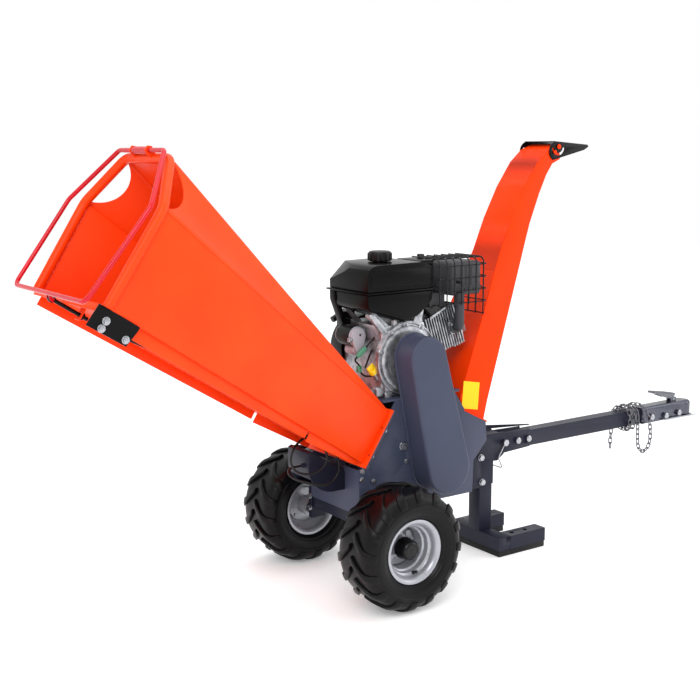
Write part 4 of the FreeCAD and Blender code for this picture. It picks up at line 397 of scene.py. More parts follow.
    # vinyl film stuck on the chute, left blank: flat bright yellow
    FILM = Finish("vinyl film yellow", "#ffc800", "#f8c000", 0.32, 0.03, grain_mm=6.0, relief_mm=0.01,
                  specular=0.3)

    def made(self) -> bpy.types.Material:
        """The finish's material, made once."""
        found = bpy.data.materials.get(self.value.name)
        return found or self.value.build()


# ---------------------------------------------------------------- modelling bench
def vec(place: Sequence[float]) -> Vector:
    """A place in millimetres as a vector in metres."""
    return Vector(place) * MM


def deselect() -> None:
    """Deselect every object, so that an operator acts on nothing by accident."""
    bpy.ops.object.select_all(action="DESELECT")


def activate(piece: Piece) -> None:
    """Select one object alone and make it active."""
    deselect()
    piece.select_set(True)
    bpy.context.view_layer.objects.active = piece


def begin_edit(piece: Piece) -> None:
    """Enter edit mode on one piece with all of it selected."""
    activate(piece)
    bpy.ops.object.mode_set(mode="EDIT")
    bpy.ops.mesh.select_all(action="SELECT")


def end_edit() -> None:
    """Turn every face of the piece outwards and leave edit mode."""
    bpy.ops.mesh.select_all(action="SELECT")
    bpy.ops.mesh.normals_make_consistent(inside=False)
    bpy.ops.object.mode_set(mode="OBJECT")


def modify(piece: Piece, kind: str, **settings: object) -> None:
    """Add a modifier to a piece and apply it.

    Args:
        piece: Object to change.
        kind: Modifier type.
        settings: Its attributes.
    """
    activate(piece)
    modifier = piece.modifiers.new(kind.title(), kind)
    for name, value in settings.items():
        setattr(modifier, name, value)
    bpy.ops.object.modifier_apply(modifier=modifier.name)


def shade(piece: Piece, degrees: float = 35.0) -> Piece:
    """Shade a piece smooth across edges flatter than an angle.

    Args:
        piece: Object to shade.
        degrees: The angle.

    Returns:
        The piece.
    """
    activate(piece)
    bpy.ops.object.shade_smooth_by_angle(angle=math.radians(degrees))
    return piece


def soften(piece: Piece, edge_mm: float, segments: int = 2, degrees: float = 30.0,
           clamp: bool = True) -> Piece:
    """Round the edges that are sharper than an angle, and shade the rest smooth.

    Args:
        piece: Object to change.
        edge_mm: Width of the rounding.
        segments: Faces across it.
        degrees: The angle.
        clamp: Keep neighbouring roundings from crossing.

    Returns:
        The piece.
    """
    modify(piece, "BEVEL", width=edge_mm * MM, segments=segments, limit_method="ANGLE",
           angle_limit=math.radians(degrees), use_clamp_overlap=clamp)
    return shade(piece, 40.0)


def start_outline(name: str, corners: Sequence[Sequence[float]], fill: str = "NGON") -> Piece:
    """Start a piece as a disc whose corners are moved to their places.

    Args:
        name: Piece's name.
        corners: Its corners in millimetres, in order.
        fill: "NGON" for one flat face, "NOTHING" for a bare outline.

    Returns:
        The piece.
    """
    deselect()
    bpy.ops.mesh.primitive_circle_add(vertices=len(corners), fill_type=fill)
    piece = bpy.context.object
    piece.name = name
    for vertex, place in zip(piece.data.vertices, corners):
        vertex.co = vec(place)
    return piece


def push(piece: Piece, move: Sequence[float]) -> Piece:
    """Extrude a flat piece into a solid.

    Args:
        piece: The flat piece.
        move: Way and length of the extrusion, millimetres.

    Returns:
        The piece.
    """
    begin_edit(piece)
    bpy.ops.mesh.extrude_region_move(TRANSFORM_OT_translate={"value": vec(move)})
    end_edit()
    return piece


def prism(name: str, outline: Sequence[Flat], y0: float, y1: float) -> Piece:
    """Make a solid from an outline of x and z.

    Args:
        name: Piece's name.
        outline: Its corners in millimetres, in order.
        y0: Where the solid starts.
        y1: Where it ends.

    Returns:
        The piece.
    """
    piece = start_outline(name, [(x, y0, z) for x, z in outline])
    return push(piece, (0.0, y1 - y0, 0.0))


def block(name: str, low: Point, high: Point, edge_mm: float = 0.0, segments: int = 2) -> Piece:
    """Make a rounded block between two corners.

    Args:
        name: Piece's name.
        low: Lowest corner, millimetres.
        high: Highest corner.
        edge_mm: Rounding of its edges.
        segments: Faces across the rounding.

    Returns:
        The piece.
    """
    deselect()
    bpy.ops.mesh.primitive_cube_add(size=1.0, location=(vec(low) + vec(high)) / 2)
    piece = bpy.context.object
    piece.name = name
    bpy.ops.transform.resize(value=vec(high) - vec(low))
    bpy.ops.object.transform_apply(location=True, rotation=True, scale=True)
    if edge_mm:
        soften(piece, edge_mm, segments)
    return piece


def lathe(name: str, profile: Sequence[Flat], foot: Point, axis: Point = FAR, steps: int = 48,
          degrees: float = 35.0) -> Piece:
    """Spin a closed profile round an axis.

    Args:
        name: Piece's name.
        profile: Radius and distance along the axis of each corner, millimetres.
        foot: Where the distances start.
        axis: Direction of the axis.
        steps: Faces round it.
        degrees: Edges sharper than this stay sharp.

    Returns:
        The piece.
    """
    along = Vector(axis).normalized()
    out = along.orthogonal().normalized()
    corners = [Vector(foot) + out * radius + along * reach for radius, reach in profile]
    piece = start_outline(name, corners, "NOTHING")
    begin_edit(piece)
    bpy.ops.mesh.spin(steps=steps, angle=2 * math.pi, center=vec(foot), axis=along)
    bpy.ops.mesh.select_all(action="SELECT")
    bpy.ops.mesh.remove_doubles(threshold=2 * WELD)
    bpy.ops.mesh.dissolve_degenerate(threshold=WELD)
    end_edit()
    return shade(piece, degrees)


def wire(name: str, path: Sequence[Point], radius: float, bend: float = 0.0, closed: bool = False,
         sides: int = 12) -> Piece:
    """Bend a round bar along a path.

    Args:
        name: Piece's name.
        path: Corners of its centre line, millimetres.
        radius: Half its thickness.
        bend: Share of each straight that a bend takes, 0 for mitred corners.
        closed: Join the ends.
        sides: Faces round the bar.

    Returns:
        The piece.
    """
    line = rounded_path([Vector(p) for p in path], bend, closed)
    deselect()
    bpy.ops.curve.primitive_nurbs_path_add(location=ORIGIN)
    piece = bpy.context.object
    piece.name = name
    curve = piece.data
    curve.splines.clear()
    spline = curve.splines.new("POLY")
    spline.points.add(len(line) - 1)
    for point, place in zip(spline.points, line):
        point.co = (*(place * MM), 1.0)
    spline.use_cyclic_u = closed
    spline.use_smooth = True
    curve.twist_mode = "MINIMUM"
    curve.bevel_depth = radius * MM
    curve.bevel_resolution = max(0, sides // 4 - 1)
    curve.use_fill_caps = not closed
    bpy.ops.object.convert(target="MESH")
    piece = bpy.context.object
    piece.name = name
    begin_edit(piece)
    bpy.ops.mesh.remove_doubles(threshold=WELD)
    end_edit()
    return shade(piece, 40.0)


def rounded_path(path: Sequence[Vector], bend: float, closed: bool) -> list[Vector]:
    """Cut the corners of a path into smooth bends.

    Args:
        path: Its corners.
        bend: Share of the shorter neighbouring straight that a bend takes, up to 0.5.
        closed: Treat the last corner as a neighbour of the first.

    Returns:
        Points of the smooth line.
    """
    if not bend:
        return list(path)
    steps = 8
    count = len(path)
    line = []
    for i, corner in enumerate(path):
        if not closed and i in (0, count - 1):
            line.append(corner)
            continue
        before = path[i - 1] - corner
        after = path[(i + 1) % count] - corner
        reach = bend * min(before.length, after.length)
        enter = corner + before.normalized() * reach
        leave = corner + after.normalized() * reach
        for step in range(steps + 1):
            t = step / steps
            line.append(enter * (1 - t) ** 2 + corner * 2 * t * (1 - t) + leave * t ** 2)
    return line


def pick(piece: Piece, test: Callable[[Vector], bool]) -> None:
    """Enter edit mode with the faces selected whose normal passes a test.

    Args:
        piece: Object to edit.
        test: Says of a normal whether its face is wanted.
    """
    activate(piece)
    bpy.ops.object.mode_set(mode="EDIT")
    bpy.ops.mesh.select_mode(type="FACE")
    bpy.ops.mesh.select_all(action="DESELECT")
    bpy.ops.object.mode_set(mode="OBJECT")
    for face in piece.data.polygons:
        face.select = test(face.normal)
    bpy.ops.object.mode_set(mode="EDIT")


def raise_faces(inset_mm: float, lift_mm: float) -> None:
    """Inset the selected faces and lift them along their normals, then leave edit mode.

    Args:
        inset_mm: Width of the border left round them.
        lift_mm: How far they rise, negative for a recess.
    """
    bpy.ops.mesh.inset(thickness=inset_mm * MM, depth=0.0)
    bpy.ops.mesh.extrude_region_shrink_fatten(
        MESH_OT_extrude_region={}, TRANSFORM_OT_shrink_fatten={"value": lift_mm * MM})
    bpy.ops.object.mode_set(mode="OBJECT")


def copy_of(piece: Piece, name: str, place: Matrix) -> Piece:
    """Copy a piece with its own mesh and carry the mesh to a new place.

    Args:
        piece: Object to copy.
        name: Name of the copy.
        place: Where its mesh goes, in metres.

    Returns:
        The copy.
    """
    twin = piece.copy()
    twin.data = piece.data.copy()
    twin.name = name
    bpy.context.scene.collection.objects.link(twin)
    twin.data.transform(place)
    if place.determinant() < 0:
        twin.data.flip_normals()
    return twin


def ring(pattern: Piece, angles: Sequence[float], foot: Point = ORIGIN, axis: Point = FAR) -> list[Piece]:
    """Turn a copy of a pattern to each angle about an axis, and take the pattern away.

    Args:
        pattern: Piece to repeat.
        angles: Turn of each copy, degrees.
        foot: A point on the axis, millimetres.
        axis: Direction of the axis.

    Returns:
        The copies.
    """
    spot = Matrix.Translation(vec(foot))
    spins = [Matrix.Rotation(math.radians(angle), 4, Vector(axis)) for angle in angles]
    copies = [copy_of(pattern, f"{pattern.name}_turned", spot @ spin @ spot.inverted()) for spin in spins]
    bpy.data.objects.remove(pattern)
    return copies


def join(name: str, pieces: Sequence[Piece]) -> Piece:
    """Join several pieces into the first.

    Args:
        name: Name of the whole.
        pieces: What goes into it.

    Returns:
        The whole.
    """
    activate(pieces[0])
    for piece in pieces[1:]:
        piece.select_set(True)
    if len(pieces) > 1:
        bpy.ops.object.join()
    whole = bpy.context.view_layer.objects.active
    whole.name = name
    return whole


def hex_bolt(name: str, foot: Point, axis: Point, size: float) -> Piece:
    """Make a hexagon head on its washer.

    Args:
        name: Piece's name.
        foot: Middle of the washer's underside, millimetres.
        axis: Way that the head points.
        size: Thread diameter.

    Returns:
        The piece.
    """
    disc = [(0, 0), (1.1 * size, 0), (1.1 * size, 0.16 * size), (1.02 * size, 0.2 * size), (0, 0.2 * size)]
    washer = lathe(f"{name}_washer", disc, foot, axis, 20)
    along = Vector(axis).normalized()
    across = along.orthogonal().normalized()
    aside = along.cross(across)
    base = Vector(foot) + along * 0.2 * size
    turns = [math.radians(60 * i) for i in range(6)]
    corners = [base + (across * math.cos(turn) + aside * math.sin(turn)) * 0.93 * size for turn in turns]
    head = push(start_outline(name, corners), along * 0.65 * size)
    soften(head, 0.09 * size, 2)
    return join(name, [head, washer])


def cad_copy(node: str, name: str, edge_mm: float = 0.0, degrees: float = 30.0,
             segments: int = 2) -> Piece:
    """Copy a CAD node, weld its loose triangles and break its sharp edges.

    Args:
        node: Name of the CAD node.
        name: Name of the new piece.
        edge_mm: Width of the broken edges, 0 for none.
        degrees: Edges sharper than this are broken and stay sharp in the shading.
        segments: Faces across a broken edge.

    Returns:
        The new piece, which doesn't ride on anything yet.
    """
    piece = frame["nodes"][node].copy()
    piece.data = piece.data.copy()
    piece.name = name
    piece.parent = None
    for key in list(piece.keys()):
        del piece[key]
    bpy.context.scene.collection.objects.link(piece)
    begin_edit(piece)
    bpy.ops.mesh.remove_doubles(threshold=2 * WELD)
    bpy.ops.mesh.dissolve_limited(angle_limit=math.radians(1.0))
    bpy.ops.object.mode_set(mode="OBJECT")
    if edge_mm:
        soften(piece, edge_mm, segments, degrees, clamp=False)
    return shade(piece, degrees)


SLOTS: dict[str, str] = {part["node"]: part["material_slot"] for part in frame["record"]["subparts"]}


def home(node: str) -> str:
    """Name of the body that a CAD node belongs to."""
    return frame["nodes"][node]["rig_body"]


def dress(piece: Piece, paint: Paints) -> None:
    """Give a piece or a CAD node one finish all over."""
    piece.data.materials.clear()
    piece.data.materials.append(paint.made())


@dataclass
class Assembly:
    """A group of pieces of the machine that is built and dressed together."""

    def settle(self, piece: Piece, paint: Paints, beside: str, *nodes: str) -> Piece:
        """Dress a new piece and tie it to the frame.

        Args:
            piece: New object, in place.
            paint: Its finish.
            beside: CAD node whose body it shares.
            nodes: CAD nodes that it stands for.

        Returns:
            The piece.
        """
        for part in (piece, *(frame["nodes"][node] for node in nodes)):
            dress(part, paint)
        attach(piece, home(beside))
        if nodes:
            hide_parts(*nodes)
        faces = len(piece.data.polygons)
        LOG.info("%s: %s on %s, %d faces", type(self).__name__, piece.name, home(beside), faces)
        return piece

    def keep(self, paint: Paints, edge_mm: float, *nodes: str, degrees: float = 30.0,
             segments: int = 2) -> None:
        """Let softened copies stand for CAD nodes.

        Args:
            paint: Their finish.
            edge_mm: Width of their broken edges, 0 for none.
            nodes: The CAD nodes.
            degrees: Edges sharper than this are broken.
            segments: Faces across a broken edge.
        """
        for node in nodes:
            piece = cad_copy(node, f"{node}_softened", edge_mm, degrees, segments)
            self.settle(piece, paint, node, node)


# ---------------------------------------------------------------- studio
@dataclass
class Studio:
    """Pale floor, soft lights and the camera, in metres and degrees."""

    eye: Point = (-2.2443, -3.2156, 1.4665)
    heading: float = -35.08
    tilt: float = 9.62
    roll: float = -0.2
    lens: float = 61.34
    floor_half: float = 12.0
    floor_drop: float = 0.0005
    aim: Point = (0.2, 0.0, 0.7)

    def camera(self) -> None:
        """Place the camera by its heading, tilt and roll."""
        a, e, r = (math.radians(v) for v in (self.heading, self.tilt, self.roll))
        back = Vector((math.sin(a) * math.cos(e), -math.cos(a) * math.cos(e), math.sin(e)))
        right = Vector((math.cos(a), math.sin(a), 0.0))
        up = back.cross(right)
        side = right * math.cos(r) + up * math.sin(r)
        top = up * math.cos(r) - right * math.sin(r)
        deselect()
        bpy.ops.object.camera_add(location=self.eye)
        camera = bpy.context.object
        camera.name = "studio_camera"
        camera.matrix_world = Matrix.Translation(self.eye) @ Matrix((side, top, back)).transposed().to_4x4()
        camera.data.lens = self.lens
        camera.data.sensor_width = 36.0
        camera.data.clip_end = 100.0
        bpy.context.scene.camera = camera

    def floor(self) -> None:
        """Lay the pale floor just under the tyres."""
        deselect()
        bpy.ops.mesh.primitive_plane_add(size=2 * self.floor_half, location=(0.0, 0.0, -self.floor_drop))
        ground = bpy.context.object
        ground.name = "studio_floor"
        bpy.ops.object.transform_apply(location=True, rotation=False, scale=True)
        finish = Finish("studio floor white", "#fdfdfd", "#fafafb", 0.8, 0.03, grain_mm=4.0, relief_mm=0.02,
                        glow=0.2)
        ground.data.materials.append(finish.build())

    def lamp(self, name: str, place: Point, size: float, power: float) -> None:
        """Hang one square soft box that points at the machine.

        Args:
            name: Its name.
            place: Where it hangs.
            size: Side of its square.
            power: Watts.
        """
        deselect()
        bpy.ops.object.light_add(type="AREA", location=place)
        light = bpy.context.object
        light.name = name
        light.data.shape = "SQUARE"
        light.data.size = size
        light.data.energy = power
        light.rotation_euler = (Vector(self.aim) - Vector(place)).to_track_quat("-Z", "Y").to_euler()

    def build(self) -> None:
        """Set the whole studio."""
        self.camera()
        self.floor()
        world = bpy.data.worlds.new("studio_air")
        world.use_nodes = True
        sky = world.node_tree.nodes["Background"]
        sky.inputs["Color"].default_value = WHITE
        sky.inputs["Strength"].default_value = 1.0
        bpy.context.scene.world = world
        bpy.context.scene.view_settings.view_transform = "Standard"
        self.lamp("key_box", (-2.6, -2.6, 3.6), 2.6, 85.0)
        self.lamp("top_box", (0.5, 0.4, 4.2), 3.2, 45.0)
        self.lamp("side_box", (3.4, -2.2, 2.0), 2.2, 30.0)


# ---------------------------------------------------------------- wheels and axle
@dataclass(frozen=True)
class Station:
    """One station along a tyre lug.

    Attributes:
        r: Radius of the lug's foot, millimetres.
        y: Distance from the tyre's middle plane, millimetres.
        sweep: Turn round the wheel from the lug's root, degrees.
        width: Width round the wheel, millimetres.
        lean: Turn of the lug's height from outward to sideways, degrees.
        height: Height above the carcass, millimetres.
    """

    r: float
    y: float
    sweep: float
    width: float
    lean: float
    height: float


LONG_LUG = (Station(192.6, 4, 0.0, 20, 0, 9.8), Station(192.6, 30, -8.0, 24, 0, 9.8),
            Station(191.2, 56, -14.5, 29, 8, 9.4), Station(184.5, 75, -17.5, 33, 33, 7.6),
            Station(174.0, 86, -18.5, 33, 58, 6.0), Station(160.0, 91, -19.0, 29, 77, 4.0))
SHORT_LUG = (Station(192.6, 37, 2.2, 15, 0, 9.6), Station(192.2, 46, 0.0, 17, 3, 9.6),
             Station(190.6, 60, -3.6, 20, 12, 9.0), Station(184.5, 75, -6.3, 24, 33, 7.6),
             Station(174.0, 86, -7.3, 24, 58, 6.0), Station(162.0, 90.6, -7.8, 21, 75, 4.0))


@dataclass
class RunningGear(Assembly):
    """Two bar-lug tyres on pressed rims, their hubs and the axle.

    Sizes in millimetres; a wheel is drawn round the origin with its outer side towards -Y.

    Attributes:
        track: Distance between the tyres' middle planes.
        radius: Height of the axle above the ground.
        lugs: Long lugs on each side of a tyre, with as many short ones between them.
        lug_steps: Faces along a lug.
        lug_root: How deep a lug's foot sits in the carcass.
        lug_taper: Share of its width that a lug loses towards its top.
        lug_edge: Rounding of a lug.
        well: Radius of the rim's well.
        disc_y: Place of the rim's disc along the axle.
        disc_bolt: Place of the first disc bolt, x and z.
        cap: Radius of the hub cap.
        cap_y: Place of the hub cap's foot along the axle.
        valve_foot: Foot of the valve stem.
        valve_lean: Way that the stem points.
        hub_edge: Rounding of the hubs.
        axle_edge: Rounding of the axle beam.
        spindle_edge: Rounding of the spindle brackets.
    """

    track: float = 594.0
    radius: float = 203.0
    lugs: int = 16
    lug_steps: int = 13
    lug_root: float = 2.0
    lug_taper: float = 0.12
    lug_edge: float = 2.2
    well: float = 67.0
    disc_y: float = 13.0
    disc_bolt: Flat = (-41.0, 48.0)
    cap: float = 34.0
    cap_y: float = -22.3
    valve_foot: Point = (17.0, -46.0, -79.0)
    valve_lean: Point = (-0.1, -0.9, 0.42)
    hub_edge: float = 0.8
    axle_edge: float = 1.5
    spindle_edge: float = 1.2

    def build(self) -> None:
        """Model one wheel's pieces and copy them to both sides."""
        right = Matrix.Translation(vec((0.0, -self.track / 2, self.radius)))
        left = Matrix.Translation(vec((0.0, self.track / 2, self.radius))) @ Matrix.Diagonal((1, -1, 1, 1))
        parts = ((self.tyre, Paints.TYRE, "tyre"), (self.rim, Paints.RIM_SILVER, "rim"),
                 (self.hub_cap, Paints.ABS_GLOSS, "hub_cap"))
        # the hole pieces are dark blocks, painted shade for the disc's see-through holes
        details = ((self.valve, Paints.ABS_BLACK, "valve"), (self.disc_hole_shade, Paints.ABS_BLACK, "hole"))
        for make, paint, stem in parts + details:
            pattern = make()
            for side, place in (("right", right), ("left", left)):
                node = f"{stem}_{side}"
                if node in SLOTS:
                    self.settle(copy_of(pattern, f"{node}_modelled", place), paint, node, node)
                else:
                    self.settle(copy_of(pattern, node, place), paint, f"rim_{side}")
            bpy.data.objects.remove(pattern)
        self.keep(Paints.RIM_SILVER, self.hub_edge, "hub_right", "hub_left")
        self.keep(Paints.DARK_SLATE, self.axle_edge, "axle_beam")
        self.keep(Paints.DARK_SLATE, self.spindle_edge, "wheel_spindles")

    def tyre(self) -> Piece:
        """Spin the carcass with its sidewall rings and set both kinds of lug round it.

        Returns:
            The pattern, round the origin.
        """
        outer = [(89.4, 60), (92, 66), (97, 69), (103, 71), (106, 73.5), (110, 79), (113, 82.5), (116, 83.4),
                 (119, 84), (121, 86.5), (126, 88.8), (134, 91.2), (143, 92.4), (147, 92.6), (148.5, 93.8),
                 (152, 93.9), (153.5, 92.6), (160, 91.8), (167, 89.6), (174, 86.2), (180, 81.6), (185, 75.6),
                 (189, 68), (191.6, 58), (192.6, 44), (193, 22)]
        inner = [(89.4, 46), (104, 56), (124, 74), (145, 79), (165, 77), (178, 62), (180, 30)]
        profile = [(r, -y) for r, y in outer] + [(r, y) for r, y in reversed(outer)]
        profile += [(r, y) for r, y in inner] + [(r, -y) for r, y in reversed(inner)]
        pieces = [lathe("tyre_pattern", profile, ORIGIN, steps=112, degrees=25.0)]
        pitch = 360.0 / self.lugs
        for stations, start in ((LONG_LUG, 0.0), (SHORT_LUG, 0.5)):
            for hand in (-1, 1):
                lead = start + (0.5 if hand > 0 else 0.0)
                pieces += ring(self.lug(stations, hand), [pitch * (i + lead) for i in range(self.lugs)])
        return join("tyre_pattern", pieces)

    def lug(self, stations: Sequence[Station], hand: int) -> Piece:
        """Bend one bar lug through its stations, from the tread round the shoulder.

        Args:
            stations: The lug's stations from its root to its tip.
            hand: +1 or -1, the side of the tread it runs to.

        Returns:
            The lug, in its place on top of the wheel.
        """
        deselect()
        bpy.ops.mesh.primitive_grid_add(x_subdivisions=self.lug_steps, y_subdivisions=2, size=1.0,
                                        location=(0.5, 0.0, 0.0))
        piece = bpy.context.object
        bpy.ops.object.transform_apply(location=True, rotation=True, scale=True)
        begin_edit(piece)
        bpy.ops.mesh.extrude_region_move(TRANSFORM_OT_translate={"value": UP})
        end_edit()
        for vertex in piece.data.vertices:
            along, across, up = vertex.co
            spot = along * (len(stations) - 1)
            k = min(int(spot), len(stations) - 2)
            share = spot - k
            here = Station(*(a * (1 - share) + b * share
                             for a, b in zip(astuple(stations[k]), astuple(stations[k + 1]))))
            lean = math.radians(here.lean)
            tall = here.height * up - self.lug_root * (1 - up)
            width = here.width * (1.0 - self.lug_taper * up)
            angle = math.radians(here.sweep) + across * width / here.r
            reach = here.r + tall * math.cos(lean)
            aside = here.y + tall * math.sin(lean)
            vertex.co = vec((reach * math.sin(angle), hand * aside, reach * math.cos(angle)))
        if hand < 0:
            piece.data.flip_normals()
        return soften(piece, self.lug_edge, 2, 40.0)

    def rim(self) -> Piece:
        """Spin the stepped barrel with its flange, and the inset disc with its three bolts.

        Returns:
            The pattern, round the origin.
        """
        face = [(105.6, -75.4), (105.4, -77.4), (103, -78.6), (98.5, -77.8), (94, -75.4), (90.5, -71.5),
                (87.5, -66), (86, -60), (85.4, -52), (83.5, -49), (79.5, -47.4), (77.2, -45.4), (76.2, -41),
                (75.8, -33), (74, -29.6), (70.5, -27.8), (68.2, -25.4), (self.well, -20), (self.well, 26),
                (86, 44), (86, 68), (92, 73), (100, 74.5)]
        back = [(100.5, 72), (93.5, 70.5), (89, 66), (89, 43), (70, 25), (70, -18), (71.5, -23),
                (73.5, -25.2), (77, -27), (78.8, -31), (79.2, -40), (80.5, -43.6), (85, -46.2), (88.4, -50),
                (89, -60), (90.5, -65), (94, -70.5), (99, -74)]
        barrel = lathe("rim_pattern", face + back, ORIGIN, steps=96, degrees=28.0)
        y = self.disc_y
        plate = [(68, y + 8), (66.5, y + 3.4), (63, y), (44, y), (40, y - 1.4), (35, y - 1.4), (31.4, y),
                 (31.4, y + 3), (62, y + 3), (65, y + 8)]
        disc = lathe("rim_disc", plate, ORIGIN, steps=96, degrees=28.0)
        x, z = self.disc_bolt
        bolts = ring(hex_bolt("disc_bolt", (x, y + 0.2, z), NEAR, 4.0), (0.0, 120.0, 240.0))
        return join("rim_pattern", [barrel, disc] + bolts)

    def disc_hole_shade(self) -> Piece:
        """Set dark oval blocks in the disc, painted shade where its holes show the dark behind.

        Returns:
            The pattern, round the origin.
        """
        y = self.disc_y
        # painted shade: a dark block fills each hole
        plug = block("hole_shade_block", (-44.0, y - 0.8, -9.0), (-35.0, y + 0.6, 9.0), 4.2, 5)
        return join("hole_shade_pattern", ring(plug, (0.0, 180.0)))

    def hub_cap(self) -> Piece:
        """Spin the cap with its collar, step and dished end.

        Returns:
            The pattern, round the origin.
        """
        y = self.cap_y
        r = self.cap
        profile = [(r - 2.6, y + 8), (r + 0.6, y + 8), (r + 1.4, y + 5), (r + 1.4, y - 2), (r - 0.4, y - 4.4),
                   (r - 1, y - 7), (r - 1, y - 29), (r - 1.8, y - 33.4), (r - 4, y - 38), (r - 8, y - 42),
                   (r - 12.5, y - 44), (r - 14, y - 44), (r - 15, y - 42.6), (r - 18, y - 42), (10, y - 43.2),
                   (0, y - 43.8), (0, y - 40.5), (r - 9, y - 40), (r - 4.4, y - 32)]
        return lathe("hub_cap_pattern", profile, ORIGIN, steps=64, degrees=40.0)

    def valve(self) -> Piece:
        """Spin the rubber valve stem that leans out of the barrel's step.

        Returns:
            The pattern, round the origin.
        """
        profile = [(0, 0), (6.5, 0), (6.5, 3), (4.4, 5), (3.8, 15), (4.8, 15.5), (4.8, 23), (4, 24.5),
                   (0, 24.5)]
        return lathe("valve_pattern", profile, self.valve_foot, self.valve_lean, 20)


# ---------------------------------------------------------------- rotor housing
@dataclass
class RotorHousing(Assembly):
    """Side plates, wrapped shell and deck, with the rotor inside."""

    plate_edge: float = 1.0
    turned_edge: float = 0.5

    def build(self) -> None:
        """Soften the plates, the shell and what turns inside them."""
        self.keep(Paints.SLATE, self.plate_edge, "housing_sides", "housing_shell", "engine_deck")
        self.keep(Paints.DARK_SLATE, self.plate_edge, "battery_box")
        self.keep(Paints.IRON, self.turned_edge, "rotor_drum", "rotor_bearings")
        self.keep(Paints.GROUND, self.turned_edge, "chipper_knives", "bed_knife", "rotor_shaft")
        self.keep(Paints.ZINC, self.turned_edge, "frame_fasteners")


# ---------------------------------------------------------------- belt drive
@dataclass
class BeltDrive(Assembly):
    """Belt guard on the near side, with the pulleys, clutch and belts in it."""

    plate_edge: float = 0.8
    turned_edge: float = 0.5

    def build(self) -> None:
        """Soften the guard and the pulleys."""
        self.keep(Paints.SLATE, 0.0, "belt_guard_cover", degrees=35.0)
        self.keep(Paints.SLATE, self.plate_edge, "belt_guard_back")
        self.keep(Paints.IRON, self.turned_edge, "driven_pulley", "drive_clutch")
        self.keep(Paints.BELT, 0.0, "drive_belts")


# ---------------------------------------------------------------- hopper
@dataclass
class Hopper(Assembly):
    """Folded feed hopper with its tubular rim and corner plate.

    Places along the hopper are given as u up its floor and w square to it, all in millimetres.

    Attributes:
        foot: Foot of the floor on the machine's middle plane.
        tilt: Slope of the floor, degrees.
        length: Length of the floor.
        corner_y: Distance of the corner plate's face from the middle plane.
        bolt: Thread diameter of the corner bolts.
        sheet_edge: Rounding of the sheets' edges.
        seam: Radius of a weld seam.
    """

    foot: Point = (-37.0, 0.0, 449.0)
    tilt: float = 33.0
    length: float = 1098.0
    corner_y: float = 254.0
    bolt: float = 10.6
    sheet_edge: float = 0.9
    seam: float = 2.0

    def at(self, u: float, w: float, y: float) -> Point:
        """Turn a place along the hopper into machine coordinates.

        Args:
            u: Distance up the floor from its foot, millimetres.
            w: Distance square to the floor.
            y: Distance to the left.

        Returns:
            The place in millimetres.
        """
        a = math.radians(self.tilt)
        return (self.foot[0] - u * math.cos(a) + w * math.sin(a), y,
                self.foot[2] + u * math.sin(a) + w * math.cos(a))

    def build(self) -> None:
        """Soften the sheets and close their folds with weld seams."""
        self.keep(Paints.HOPPER_ORANGE, self.sheet_edge, "hopper_floor", "hopper_sides", "hopper_roof")
        self.keep(Paints.HOPPER_ORANGE, 0.0, "hopper_rim", degrees=40.0)
        self.keep(Paints.BLACK_COAT, 0.0, "corner_plate", degrees=35.0)
        self.corner_bolts()
        self.seams()

    def corner_bolts(self) -> None:
        """Set the three bolts of the corner plate."""
        spots = ((self.length - 16, -32.0), (self.length - 14, -56.0), (self.length - 92, -50.0))
        bolts = [hex_bolt("corner_bolt", self.at(u, w, -self.corner_y - 0.2), NEAR, self.bolt)
                 for u, w in spots]
        self.settle(join("corner_bolts", bolts), Paints.ZINC, "corner_plate")

    def seams(self) -> None:
        """Lay a seam along each fold between side, sloping panel and roof."""
        top = self.length - 18
        folds = (((10, 186.4, 153.4), (top, 308.6, 265.4)), ((14, 187.6, 155.0), (top, 465.0, 144.4)),
                 ((8, 2.4, 149.0), (top, 2.4, 253.6)))
        seams = [wire("seam", [self.at(u, w, hand * y) for u, w, y in fold], self.seam, sides=8)
                 for hand in (-1, 1) for fold in folds]
        self.settle(join("hopper_seams", seams), Paints.HOPPER_ORANGE, "hopper_sides")


# ---------------------------------------------------------------- stop gear
@dataclass
class StopGear(Assembly):
    """Safety stop bar round the mouth, its push rod, the switch and the cable."""

    rod_edge: float = 0.4
    switch_edge: float = 1.0

    def build(self) -> None:
        """Dress the bar and its linkage."""
        self.keep(Paints.BAR_CRIMSON, 0.0, "stop_bar", degrees=40.0)
        self.keep(Paints.BLACK_COAT, self.rod_edge, "push_rod")
        self.keep(Paints.ABS_BLACK, self.switch_edge, "stop_switch")
        self.keep(Paints.CABLE, 0.0, "switch_cable", degrees=40.0)


# ---------------------------------------------------------------- chute
@dataclass
class Chute(Assembly):
    """Discharge chute with its deflector and the blank film patch.

    Attributes:
        sheet_edge: Rounding of the chute's edges, millimetres.
        flap_edge: Rounding of the deflector's edges.
        film: Thickness of the film.
        film_proud: Distance between the film and the sheet's middle.
        wall_out: Way that the near wall faces.
    """

    sheet_edge: float = 1.2
    flap_edge: float = 0.8
    film: float = 0.7
    film_proud: float = 0.6
    wall_out: Point = (0.0355, -0.9945, 0.0987)

    def build(self) -> None:
        """Soften the chute and stick the patch on its near side."""
        self.keep(Paints.CHUTE_ORANGE, self.sheet_edge, "chute", degrees=28.0, segments=3)
        self.keep(Paints.BLACK_COAT, self.flap_edge, "chute_deflector")
        self.patch()

    def patch(self) -> None:
        """Lay the blank film on the near wall, a little proud of the sheet."""
        corners = [(409.1, -121.8, 668.7), (482.9, -120.6, 654.6), (466.8, -130.4, 561.4),
                   (392.3, -131.7, 575.2)]
        out = Vector(self.wall_out)
        film = start_outline("film_patch", [Vector(corner) + out * self.film_proud for corner in corners])
        push(film, out * self.film)
        self.settle(soften(film, 0.3, 1), Paints.FILM, "chute")


